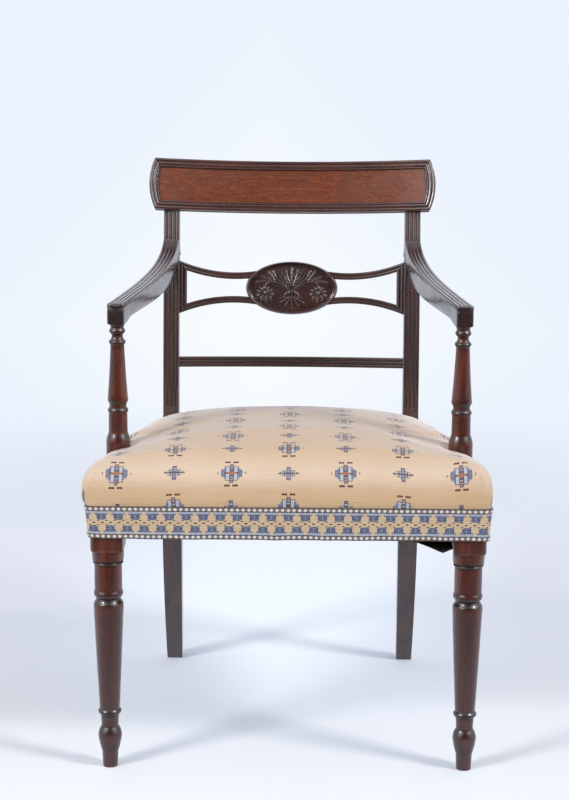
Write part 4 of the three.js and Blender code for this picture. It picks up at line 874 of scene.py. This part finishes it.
def bezier(points, t):
    """Points along a straight, quadratic or cubic curve, at each t of a column."""
    points, degree = np.array(points, float), len(points) - 1
    weights = [math.comb(degree, k) * t ** k * (1 - t) ** (degree - k) for k in range(degree + 1)]
    return np.concatenate(weights, 1) @ points


def stroke_height(x, y, stroke):
    """Height of one carved stroke: a rounded ridge that narrows to both ends, with a fine vein."""
    start, pull, end, half, high = stroke
    line = bezier((start, pull, end), np.linspace(0, 1, 40)[:, None])
    away = np.hypot(x[..., None] - line[:, 0], y[..., None] - line[:, 1])
    share, away = away.argmin(-1) / (len(line) - 1), away.min(-1)
    width = half * (0.35 + 0.65 * np.sin(np.pi * share ** 0.8) ** 0.7)
    inside = np.clip(1 - (away / width) ** 2, 0, 1)
    return high * np.sqrt(inside) - 0.35 * high * hump(away, 0.35) * (inside > 0)


def flower_height(x, y):
    """Height of a hanging flower: ten petals about a boss, longer below than above."""
    dx, dy = x - FLOWER_X, y - FLOWER_Z
    r, angle = np.hypot(dx, dy), np.arctan2(dy, dx)
    petal = np.abs(np.sin(5 * angle + 0.5))
    rim = (10.6 + 3.4 * petal) * (1 - 0.22 * np.sin(angle))
    cup = 1.6 + 2.2 * np.clip(r / rim, 0, 1) ** 2
    grooves = 1.9 * (1 - petal) ** 2 * np.clip(r / 4, 0, 1)
    boss = 2.6 * np.sqrt(np.clip(1 - (r / 3.6) ** 2, 0, 1))
    return np.clip(np.clip(1 - (r / rim) ** 6, 0, 1) * (cup - grooves), 0, None) + boss


def carved_tablet():
    """The oval tablet, on rings of its outline: a shallow dome in a rounded rim, carved, with a plain back."""
    fine = np.concatenate([np.linspace(0.004, 0.86, 104), np.linspace(0.865, 0.995, 22), [1.0]])
    height = np.interp(fine, *TABLET_FRONT[::-1].T)
    soft = np.convolve(np.pad(height, 2, mode="edge"), [0.1, 0.2, 0.4, 0.2, 0.1], mode="valid")[:, None]
    fine = fine[:, None]
    sides = 420
    angle = np.linspace(0, 2 * np.pi, sides, endpoint=False)
    oval_x, oval_w = TABLET_HALF_LONG * np.cos(angle), TABLET_HALF_HIGH * np.sin(angle)
    x, w = fine * oval_x, fine * oval_w
    carving = np.zeros_like(x)
    for sign in (1, -1):
        for stroke in STROKES:
            carving = np.maximum(carving, stroke_height(sign * x, w, stroke))
        carving = np.maximum(carving, flower_height(sign * x, w))
    for stroke in MIDDLE_STROKES:
        carving = np.maximum(carving, stroke_height(x, w, stroke))
    carving *= part_way(fine, 0.9, 0.85)
    around = sum(np.roll(carving, k, 1) for k in (-6, -3, 3, 6)) / 4
    up = sum(np.roll(carving, k, 0) for k in (-5, -2, 2, 5)) / 4
    beside = (around + up) / 2
    # Painted shade, with dirt, lies beside the carving and inside the rim; the carving's ridges and the rim's top get
    # a pale painted highlight.
    low = np.maximum(np.clip((beside - carving) / 0.9, 0, 1) * (fine < 0.88), hump(fine - 0.912, 0.012))
    ridge_highlight = 0.45 * np.clip((carving - beside) / 0.6, 0, 1) + 0.6 * hump(fine - 0.96, 0.012)
    low = np.where(ridge_highlight > low, -np.clip(ridge_highlight, 0, 1), low)
    share, thick = TABLET_BACK[:, :1], TABLET_BACK[:, 1:]
    y = TABLET_BACK_Y - TABLET_THICK * np.concatenate([soft, thick]) - np.pad(carving, ((0, len(share)), (0, 0)))
    x, w = np.concatenate([x, share * oval_x]), np.concatenate([w, share * oval_w])
    return in_back(x, y, w, np.pad(low, ((0, len(share)), (0, 0))))


piece("splat_tablet_carved", [carved_tablet()], mahogany_across, ["splat_tablet"], sharp=50)


# --- Arms

ARM_DIRECTION = np.array([POST_X - SUPPORT_X, float(post_front(ARM_JOINT)) - SUPPORT_Y])
ARM_REACH = float(np.linalg.norm(ARM_DIRECTION)) + 12
ARM_DIRECTION = ARM_DIRECTION / np.linalg.norm(ARM_DIRECTION)
# Where the arm stops in its seat in the post.
ARM_STOP, ARM_STOP_LOW = ARM_REACH + 6, 684


def arm_top():
    """Side view of the arm's top and its normals: a quarter circle at the nose, then a sweep that sets out nearly
    level and ends along the leaning post."""
    nose_r = 4
    angle = np.linspace(0, np.pi / 2, 7)[:-1]
    nose = line_up(nose_r * (1 - np.cos(angle)), ARM_TOP - nose_r * (1 - np.sin(angle)))
    rise = ARM_JOINT + 15 - ARM_TOP
    end = ARM_REACH + float(post_front(ARM_TOP + rise) - post_front(ARM_JOINT))
    pull = end - math.tan(post_lean(ARM_JOINT)) * rise * 0.74
    controls = [
        (nose_r, ARM_TOP), (ARM_REACH * 0.6, ARM_TOP + rise * 0.14), (pull, ARM_TOP + rise * 0.26),
        (end, ARM_TOP + rise),
    ]
    t = np.linspace(0, 1, 800)[:, None]
    cut = t[np.searchsorted(bezier(controls, t)[:, 1], ARM_JOINT - FIT)]
    t = np.linspace(0, 1, 71)[:, None] ** 0.9 * cut
    swept = bezier(controls, t)
    ahead = bezier(controls, t + 1e-4) - swept
    ahead /= np.linalg.norm(ahead, axis=1)[:, None]
    normal = np.concatenate([line_up(-np.cos(angle), np.sin(angle)), line_up(-ahead[:, 1], ahead[:, 0])])
    return np.concatenate([nose, swept]), normal


def arm_under():
    """Side view of the arm's underside: the block, a hollow behind it and a long sweep up."""
    low = ARM_TOP - ARM_THICK
    block_end, hollow_end = (24, low), (62.4, low + 7)
    sweep = (hollow_end, (ARM_REACH * 0.62, low + 10.5), (ARM_REACH * 0.86, low + 7), (ARM_STOP, ARM_STOP_LOW))
    t = np.linspace(0, 1, 200)[:, None]
    lines = (((0, low), block_end), (block_end, (33.6, low + 6.02), hollow_end), sweep)
    return np.concatenate([bezier(line, t) for line in lines])


def arm():
    """The right-hand arm as sections across it: four reeds on top that fade out over the nose, flat sides and an
    underside with eased edges."""
    top, normal = arm_top()
    wanted = top[:, 0] + (top[:, 1] - ARM_TOP).clip(0) * 0.35 * np.linspace(0, 1, len(top))
    under = line_up(wanted, np.interp(wanted, *arm_under().T))
    top = np.concatenate([top, [[ARM_REACH + 5.7, ARM_JOINT - FIT]]])
    normal = np.concatenate([normal, [[0, 1]]])
    under = np.concatenate([under, [[ARM_STOP, ARM_STOP_LOW]]])
    across, height = even_reeds(4, 10)
    fade = part_way(np.arange(len(top)), 2, 7)[:, None]
    fade[-1] = 0
    # Over the block the top's outer corners are rounded instead.
    corner = part_way(np.abs(across - 0.5), 0.36, 0.5)
    drop = 1.6 * (1 - height) * fade + 3.2 * (1 - np.sqrt(1 - corner ** 2)) * (1 - fade)
    up = top - under
    length = np.linalg.norm(up, axis=1)
    # Down the right side by shares of the height, round the underside by mm up from it, and up the left side.
    flank = [(0.5, np.full(len(top), share)) for share in (0.75, 0.5, 0.25)]
    flank += [(u, lift / length) for u, lift in ((0.5, 1.3), (0.49, 0.6), (0.47, 0.15), (0.44, 0.0))]
    flank += [(-u, share) for u, share in flank[::-1]]
    u = np.append(across - 0.5, [place for place, _ in flank])
    side = np.concatenate([
        top[:, None, :] - normal[:, None, :] * drop[..., None],
        np.stack([under + up * share[:, None] for _, share in flank], 1),
    ], 1)
    s, z = side[..., 0] - 12, side[..., 1]
    # The block's upright front edges are rounded, as its top edge is.
    edge_r = 3.5
    ahead = np.clip(edge_r - side[..., 0], 0, edge_r)
    offset = u * (ARM_WIDE - 2 * (edge_r - np.sqrt(edge_r ** 2 - ahead ** 2)))
    dx, dy = ARM_DIRECTION
    points = line_up(SUPPORT_X + dx * s + dy * offset, SUPPORT_Y + dy * s - dx * offset, z)
    low = np.concatenate([fade * (1 - height) ** 1.5, np.zeros((len(top), len(flank)))], 1)
    # The front of the block is made darker, through the same value as the hollows.
    return skin(points, np.maximum(low, 0.7 * part_way(side[..., 0], 9, 3)))


pair("arm", mahogany_back, arm())


# --- Stuffed seat

def rail_half(y):
    """Half the seat's width: full to the back of the front legs, then in an eased straight taper."""
    s = np.asarray(y, float) - TAPER_START
    return SEAT_HALF - TAPER_SLOPE * (s + np.sqrt(s ** 2 + 20 ** 2)) / 2


def seat_outline(offset, inset, row=40, corner=14, side=52):
    """Outline of the seat, let out by an offset and drawn in by an inset, which rounds its corners. It runs from
    the front's middle round to the right."""
    shift = offset - inset
    front, back = SEAT_FRONT - shift, SEAT_BACK + 0.6 * offset - inset
    front_round, back_round = 8 + 0.75 * inset + 0.5 * offset, 8 + 0.4 * inset
    front_corner = rail_half(front + front_round) + shift - front_round
    back_corner = rail_half(back - back_round) + shift - back_round
    y = np.linspace(front + front_round, back - back_round, side + 1)[1:-1]
    turn = np.linspace(0, np.pi / 2, corner + 1)
    right = np.concatenate([
        line_up(np.linspace(0, front_corner, row + 1)[:-1], front),
        line_up(front_corner + front_round * np.sin(turn), front + front_round * (1 - np.cos(turn))),
        line_up(rail_half(y) + shift, y),
        line_up(back_corner + back_round * np.cos(turn), back - back_round * (1 - np.sin(turn))),
        line_up(np.linspace(back_corner, 0, row + 1)[1:], back),
    ])
    return np.concatenate([right, right[1:-1][::-1] * [-1, 1]])


def stuffing_rise(x, y):
    """Height of the stuffing over its widest place, with a crown of 27 mm and a fall to the back."""
    across = x / (rail_half(y) + 8)
    ahead = np.clip(SEAT_MIDDLE - y, 0, None) / 198
    behind = np.clip(y - SEAT_MIDDLE, 0, None) / 274
    return 39 + 27 * (1 - across ** 2) * np.clip(1 - ahead ** 2 - behind ** 2, 0, None) - 14.7 * behind ** 2


def seat_rings():
    """Rings of the seat from under it, down inside the cover, up over its edge and in to its middle. Also which
    ring is the top's first, and which is the last over the edge."""
    rings = []

    def put(outline, z):
        rings.append(np.column_stack([outline, np.broadcast_to(z, len(outline))]))

    def inward(share, outline):
        return [0, SEAT_MIDDLE] + (outline - [0, SEAT_MIDDLE]) * share

    base, hem = 411.8, 341.6
    inner = seat_outline(0.4, 0)
    for share in (0.02, 0.4, 0.8, 1):
        put(inward(share, inner), base)
    for z in (375, hem):
        put(inner, z)
    sides = [
        (hem, 2.2), (351, 2.9), (363, 3.8), (375, 4.6), (386.8, 5.5), (389.5, 6.2), (393, 6.9), (398, 7.5), (403, 7.9),
    ]
    for z, offset in sides:
        put(seat_outline(offset, 0), z)
    first_top = len(rings)
    for t in np.linspace(0, 1, 25) ** 1.7:
        outline = seat_outline(8, 55 * t)
        put(outline, EDGE_Z + (1 - (1 - t) ** 2.6) ** (1 / 2.6) * stuffing_rise(*outline.T))
    shoulder = len(rings) - 1
    for share in np.linspace(1, 0, 46)[1:-1]:
        outline = inward(share, rings[shoulder][:, :2])
        put(outline, EDGE_Z + stuffing_rise(*outline.T))
    return np.array(rings), first_top, shoulder


def unrolled(rings, first_top, shoulder):
    """Places in the cloth in metres, as laid over from the front and from the side. Down from the shoulder they
    run on by the length along the cover less the level distance gone."""
    steps = np.diff(rings, axis=0)
    excess = np.zeros(rings.shape[:2])
    gained = np.linalg.norm(steps, axis=2) - np.linalg.norm(steps[..., :2], axis=2)
    for row in range(shoulder - 1, -1, -1):
        excess[row] = excess[row + 1] + gained[row]
    x, y = rings[..., 0], rings[..., 1]
    ahead = np.where(y < SEAT_MIDDLE, -1.0, 1.0)
    # Round a corner the cloth runs on along the rim.
    rim = rings[first_top, :, :2]
    run = run_along(np.concatenate([rim, rim[:1]]))
    around = np.where(run[:-1] > run[-1] / 2, run[:-1] - run[-1], run[:-1])
    wrapped = np.clip(excess / 30, 0, 1) * (np.abs(y - rings[:, :1, 1]) < 70)
    # Rows of motifs lie level along the border, so over a lower part of the edge they lie further back.
    front_columns = np.flatnonzero(y[shoulder] < SEAT_FRONT + 63)
    order = front_columns[np.argsort(x[shoulder][front_columns])]
    height = np.interp(x, x[shoulder][order], excess[first_top][order])
    slid = (height - excess[first_top, 0]) * 0.4 * part_way(y, 300, 100)
    u = x + (around - x) * wrapped
    v = y + (rings[:, :1, 1] - y) * wrapped
    over_front = line_up(u, v + ahead * excess + slid)
    over_side = line_up(x + np.sign(x) * excess, y + slid)
    return over_front * MM, over_side * MM


def from_support(points):
    """How far points lie outside the nearer arm support."""
    return np.hypot(np.abs(points[..., 0]) - SUPPORT_X, points[..., 1] - SUPPORT_Y) - SUPPORT_R


def holes_for_woodwork():
    """Cutters for the arm supports and for the posts, a little larger than the wood."""
    turn = np.linspace(0, 2 * np.pi, 48, endpoint=False)
    radius = SUPPORT_R + 0.4
    cuts = [(line_up(SUPPORT_X + radius * np.cos(turn), SUPPORT_Y + radius * np.sin(turn)), 300.0, 520.0)]
    front, back, outside = POST_Y - 0.4, 480, 300
    for inside, low, high in ((POST_X - 16.4, 300.0, 426.0), (POST_X - 13.4, 425.0, 520.0)):
        cuts.append((np.array([(inside, front), (outside, front), (outside, back), (inside, back)]), low, high))
    shells = [
        skin([np.column_stack([line, np.full(len(line), z)]) for z in (low, high)]) for line, low, high in cuts
    ]
    return shells + [mirrored(s) for s in shells]


def cut_holes(target, shells):
    """Cuts skins out of a piece, one after another, and leaves no cutter behind."""
    for shell in shells:
        cutter = new_object("cutter", in_row(shell["points"]), face_list(shell["faces"]))
        cut = target.modifiers.new("hole", "BOOLEAN")
        cut.operation, cut.solver, cut.object = "DIFFERENCE", "EXACT", cutter
        bpy.context.view_layer.update()
        result = bpy.data.meshes.new_from_object(target.evaluated_get(bpy.context.evaluated_depsgraph_get()))
        target.modifiers.clear()
        old, target.data = target.data, result
        bpy.data.meshes.remove(old)
        drop(cutter)


def settled(rings):
    """The cover after its cloth, on a net of 8 mm, is blown up gently from a start 2 mm too small, with its edge,
    its tucks and its back corners held. The net's moves, 2.5 mm at most, are spread between its points."""
    most, last_frame = 2.5, 20
    along = run_along(rings[:, 0])
    kept_rows = [0]
    for row in range(1, len(rings)):
        if along[row] - along[kept_rows[-1]] > 8 or row == len(rings) - 1:
            kept_rows.append(row)
    kept_rows, kept_columns = np.array(kept_rows), np.arange(0, rings.shape[1], 2)
    net = rings[kept_rows][:, kept_columns]
    x, y, z = np.moveaxis(net, -1, 0)
    start = net.copy()
    start[..., 2] -= 2 * part_way(z, 403, 415)
    back_corner = (y > 405) & (np.abs(x) > POST_X - 22)
    held = (z < 404) | (kept_rows[:, None] < 6) | (from_support(net) < 7) | back_corner
    shell = skin(start)
    cover = new_object("net", shell["points"] * MM, face_list(shell["faces"]))
    tacks = cover.vertex_groups.new(name="tacked")
    tacks.add(np.flatnonzero(held.ravel()).tolist() + [held.size], 1.0, "REPLACE")
    cloth = cover.modifiers.new("cloth", "CLOTH")
    cloth.point_cache.frame_start, cloth.point_cache.frame_end = 1, last_frame
    cloth.settings.quality, cloth.settings.mass = 6, 0.25
    cloth.settings.tension_stiffness = cloth.settings.compression_stiffness = 20
    cloth.settings.shear_stiffness, cloth.settings.bending_stiffness = 8, 2
    cloth.settings.use_pressure, cloth.settings.uniform_pressure_force = True, 4
    cloth.settings.effector_weights.gravity = 0
    cloth.settings.vertex_group_mass = "tacked"
    for step in range(1, last_frame + 1):
        scene.frame_set(step)
    result = cover.evaluated_get(bpy.context.evaluated_depsgraph_get()).to_mesh()
    points = np.zeros(len(result.vertices) * 3)
    result.vertices.foreach_get("co", points)
    move = points.reshape(-1, 3)[: held.size].reshape(net.shape) / MM - net
    scene.frame_set(1)
    drop(cover)
    move *= np.minimum(1, most / np.maximum(np.linalg.norm(move, axis=-1, keepdims=True), 1e-6))
    rows, columns = np.arange(len(rings)), np.arange(rings.shape[1])
    for axis in range(3):
        down = [np.interp(rows, kept_rows, line) for line in move[..., axis].T]
        around = [np.interp(columns, kept_columns, line, period=len(columns)) for line in np.transpose(down)]
        rings[..., axis] += around
    return rings


def stuffed_seat():
    """The cover over its stuffing. Its cloth is laid over from the front and back where a face looks that way,
    and from the sides elsewhere, so that it meets itself at the corners."""
    rings, first_top, shoulder = seat_rings()
    x, y, z = np.moveaxis(rings, -1, 0)
    wide = np.abs(x)
    # The stuffing gives a little: dents about 40 mm across, and a dip where the cloth is tucked round each support.
    top = part_way(z, 412, 437)
    dent = 0.9 * np.sin(x / 23 + 1.3 * np.sin(y / 31)) * np.sin(y / 27 + 1.1 * np.sin(x / 37 + 2))
    z += top * (dent + 0.7 * np.sin(x / 61 + y / 47)) * 0.6
    z -= top * 7 * hump(np.clip(from_support(rings), 0, None), 9)
    # A crease runs in from behind each support, 3.6 mm deep, with a soft roll behind it.
    line = 150 - 12 * np.sin((wide - 120) / 40)
    z += top * part_way(wide, 120, 210) * (2.6 * hump(y - line - 26, 20) - 3.6 * hump(y - line, 8))
    # The front corners are stuffed fuller, the left one outward and the right one upward.
    corner = hump(wide - 262, 34) * hump(y + 20, 48) * part_way(z, 386, 394) * part_way(z, 485, 455)
    x += np.where(x < 0, -4.6, -1.5) * corner
    z += np.where(x < 0, 3.0, 9.0) * corner * part_way(z, 400, 430)
    # A pleat is folded down the front of the right corner, 1.8 mm deep.
    pleat = hump(x - 266 + (z - 390) * 0.06, 2.2) * part_way(y, -8, -16)
    y += 1.8 * pleat * part_way(z, 452, 422) * part_way(z, 389, 395)
    over_front, over_side = unrolled(rings, first_top, shoulder)
    rings = settled(rings)
    shell = skin(rings)
    over_front, over_side = with_ends(over_front), with_ends(over_side)

    def cloth(mesh, corner):
        owner = np.repeat(np.arange(len(mesh.polygons)), [p.loop_total for p in mesh.polygons])
        middle = np.zeros((len(mesh.polygons), 2))
        np.add.at(middle, owner, shell["points"][corner][:, :2])
        x, y = (middle / np.bincount(owner)[:, None]).T
        ahead = np.where(y < SEAT_MIDDLE, SEAT_FRONT - y, y - SEAT_BACK)
        front = (ahead > np.abs(x) - rail_half(y))[owner][:, None]
        return np.where(front, over_front[corner], over_side[corner])

    seat = piece(
        "seat_cover_stuffed", [shell], cover_cloth, ["seat_cushion"], sharp=60, uv=cloth, ridged=False,
    )
    cut_holes(seat, holes_for_woodwork())
    return seat


seat = stuffed_seat()


def seat_border():
    """The galloon round the front and both sides, thicker at its braided edges."""
    edge = np.linspace(0.3, 0.5, 9)
    levels = np.concatenate([-edge[::-1], np.linspace(-0.3, 0.3, 9)[1:-1], edge])
    braid = np.sqrt(np.clip(1 - ((np.abs(levels) - 0.42) / 0.08) ** 2, 0, None))
    z = BORDER_LOW + BORDER_HIGH * (levels + 0.5)
    cover = 2 + 3.5 * (z - 339) / 48 + FIT
    section = [*zip(z, cover + 1.0 + 0.9 * braid), (z[-1], cover[-1]), (z[0], cover[0])]
    lines = np.array([line_up(*seat_outline(offset, 0, 90, 16, 90).T, height) for height, offset in section])
    count = lines.shape[1]
    keep = np.roll(np.arange(count), count // 2)
    keep = keep[lines[0, keep, 1] < POST_Y - 2 * FIT]
    rings = lines[:, keep].transpose(1, 0, 2)
    run = run_along(rings[:, len(levels) // 2, :2])
    run -= run[-1] / 2
    # The lower edge wavers by 0.7 mm, as it was tacked on by hand.
    wave = np.sin(run / 23 + 1.7 * np.sin(run / 61)) + 0.6 * np.sin(run / 9.3)
    rings[..., 2] += 0.45 * wave[:, None] * part_way(rings[..., 2], 364, 341)
    v = np.append(levels, [0.5, -0.5]) * BORDER_HIGH
    place = with_ends(line_up(run[:, None], v)) * MM
    shell = skin(rings)
    border = piece(
        "seat_border_galloon", [shell], border_cloth, ["seat_band"], sharp=50,
        uv=lambda mesh, corner: place[corner], ridged=False,
    )


seat_border()


def cover_below():
    """The black cover under the rails, in bands of rows between the front legs, over the full width and between
    the posts. It hangs down 17 mm at its loose corner."""
    front, leg_back, post_y, back = -19, BLOCK_HALF + 2 * FIT, POST_Y - 2 * FIT, 437
    x1, x2, x3 = 176.9, 228.4, 190
    bands = [
        (np.linspace(front, leg_back, 9), 2), (np.linspace(leg_back, post_y, 60)[1:], 3),
        (np.linspace(post_y, back, 6)[1:], 1),
    ]
    columns = np.concatenate([np.linspace(k, k + 1, count)[min(k, 1):] for k, count in enumerate((30, 12, 10))])
    columns = np.concatenate([-columns[:0:-1], columns])
    y = np.concatenate([rows for rows, _ in bands])
    width = np.concatenate([np.full(len(rows), band) for rows, band in bands])
    mid_x = x2 - (x2 - x3) * np.clip((y - leg_back) / 390, 0, 1)
    edge_x = SEAT_HALF - TAPER_SLOPE * np.clip(y - TAPER_START, 0, None) - 4
    share = np.abs(columns)
    grid_x = np.sign(columns) * [
        np.interp(share, [0, 1, 2, 3], [0, x1, mid, max(edge, mid)]) for mid, edge in zip(mid_x, edge_x)
    ]
    grid_y = np.repeat(y[:, None], len(columns), 1)
    # The loose corner hangs within 44 mm of a place beside the leg, and the rest sags by 0.8 mm.
    away = np.hypot(grid_x - (FRONT_LEG_X - 38), (grid_y - front) * 1.2) / 44
    sag = 0.8 * np.sin(np.pi * part_way(grid_y, front, back)) * np.cos(grid_x / 190) ** 2
    z = 338.8 - 17 * np.clip(1 - away, 0, None) ** 1.2 - sag
    # Between two bands of rows the narrower one's edge is the step's edge.
    outer = np.maximum(share[:-1], share[1:])
    shown = outer <= np.minimum(width[:-1], width[1:])[:, None] + 1e-6
    used, faces = np.unique(grid_faces(len(y), len(columns), False)[shown.ravel()], return_inverse=True)
    faces = faces.reshape(-1, 4)
    cloth = line_up(grid_x, grid_y, z).reshape(-1, 3)[used]
    shell = {"points": cloth, "faces": faces}
    below = piece(
        "dust_cover_cambric", [shell], cambric, ["dust_cover"], sharp=60, ridged=False,
    )
    thick = below.modifiers.new("thickness", "SOLIDIFY")
    thick.thickness, thick.offset = 0.5 * MM, 0.0


cover_below()


# --- CAD nodes that keep their shape

FINISHES = {"seat_rail": beech, "corner_block": beech, "web": jute, "base_cloth": hessian}
for name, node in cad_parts.items():
    if not node.hide_render:
        finish = next((made for start, made in FINISHES.items() if name.startswith(start)), steel)
        for material_slot in node.material_slots:
            material_slot.material = finish


# --- Floor, backdrop and light

def mixed_shaders(tree, share, first, second):
    """One shader with a share of another in its place."""
    return add(tree, "ShaderNodeMixShader", {0: share, 1: first, 2: second}).outputs[0]


def pale_floor():
    """A round floor 7 m in radius. To the camera it is lit, with a little light of its own, and fades out into
    the backdrop. Gloss sees it bright behind the chair and dark in front, where the paper ends."""
    sides, below = 96, 0.0004
    radius = np.concatenate([[0.01], np.linspace(0.2, 7, 24)])[:, None]
    angle = np.linspace(0, 2 * np.pi, sides, endpoint=False)
    points = line_up(radius * np.cos(angle), radius * np.sin(angle), -below).reshape(-1, 3)
    floor = new_object("floor", points, grid_faces(len(radius), sides, True).tolist() + [list(range(sides))])
    material, tree, shader = blank("paper_sweep_matt")
    wire(shader, {"Base Color": linear("#F3F5FB"), "Roughness": 0.9, "Specular IOR Level": 0.1})
    place = object_place(tree)
    across, depth, _ = parts_of(tree, place)
    path = add(tree, "ShaderNodeLightPath").outputs
    # Its own light grows to the back and is strongest in the middle.
    glow = remap(tree, depth, -1.0, 0.3, 0.1, 0.18)
    middle = remap(tree, maths(tree, "ABSOLUTE", across), 0.1, 0.5, 1.4, 0.6, smooth=True)
    glow = maths(tree, "MULTIPLY", glow, middle)
    own = add(tree, "ShaderNodeEmission", {"Color": linear("#D1E7FF"), "Strength": glow}).outputs[0]
    lit = add(tree, "ShaderNodeAddShader", {0: shader.outputs[0], 1: own}).outputs[0]
    far = remap(tree, vectors(tree, "LENGTH", place, out="Value"), 0.9, 2.7, smooth=True)
    clear = add(tree, "ShaderNodeBsdfTransparent").outputs[0]
    bright = remap(tree, depth, -1.3, 0.0, 0.06, 0.9, smooth=True)
    to_gloss = add(tree, "ShaderNodeEmission", {"Color": linear("#E6EDF8"), "Strength": bright}).outputs[0]
    to_camera = mixed_shaders(tree, far, lit, clear)
    surface = mixed_shaders(tree, path["Is Camera Ray"], shader.outputs[0], to_camera)
    surface = mixed_shaders(tree, path["Is Glossy Ray"], surface, to_gloss)
    wire(next(n for n in tree.nodes if n.type == "OUTPUT_MATERIAL"), {"Surface": surface})
    floor.data.materials.append(material)


pale_floor()


def studio_world():
    """The room, bluish white but dark towards the camera: gloss sees it in full, other light comes from it at
    about half, and the camera sees a plain backdrop, a little whiter in the middle."""
    world = bpy.data.worlds.new("studio")
    scene.world = world
    world.use_nodes = True
    tree = world.node_tree
    tree.nodes.clear()
    way = add(tree, "ShaderNodeTexCoord").outputs["Generated"]
    across, depth, height = parts_of(tree, way)
    path = add(tree, "ShaderNodeLightPath").outputs
    fill = remap(tree, depth, -0.95, 0.2, 0.22, 0.62, smooth=True)
    gleam = remap(tree, depth, -0.95, -0.4, 0.05, 1.0, smooth=True)
    # Round each lamp gloss also sees its pale umbrella.
    for lamp in ((-2.6, -1.81, 2.05), (3.2, -1.41, 2.75)):
        near = vectors(tree, "DOT_PRODUCT", way, Vector(lamp).normalized(), out="Value")
        gleam = maths(tree, "ADD", gleam, remap(tree, near, 0.84, 0.99, 0.0, 1.9, smooth=True))
    inputs = {"Factor": path["Is Glossy Ray"], "A": fill, "B": gleam}
    level = add(tree, "ShaderNodeMix", inputs, data_type="FLOAT").outputs[0]
    light = add(tree, "ShaderNodeBackground", {"Color": linear("#EAF0FB"), "Strength": level}).outputs[0]
    off = [maths(tree, "ABSOLUTE", maths(tree, "ADD", *pair)) for pair in ((across, 0.02), (height, 0.14))]
    plain = tint(tree, remap(tree, maths(tree, "ADD", *off), 0.0, 0.2, smooth=True), "#F8FCFE", "#ECF3FE")
    seen = add(tree, "ShaderNodeBackground", {"Color": plain, "Strength": 1.0}).outputs[0]
    surface = mixed_shaders(tree, path["Is Camera Ray"], light, seen)
    add(tree, "ShaderNodeOutputWorld", {"Surface": surface})


studio_world()


def softbox(name, place, watts):
    """A square softbox of 0.9 m at a place in metres, turned to the seat."""
    lamp = bpy.data.lights.new(name, "AREA")
    lamp.shape, lamp.size, lamp.energy, lamp.color = "SQUARE", 0.9, watts, linear("#FFFBF6")[:3]
    holder = bpy.data.objects.new(name, lamp)
    scene.collection.objects.link(holder)
    holder.location = Vector(place) + Vector((0, leg_line, 0))
    holder.rotation_euler = (Vector((0, 0, 0.45)) - holder.location).to_track_quat("-Z", "Y").to_euler()


softbox("softbox_left", (-2.6, -2.05, 2.5), 77)
softbox("softbox_right", (3.2, -1.65, 3.2), 95)

scene.view_settings.view_transform = "Standard"
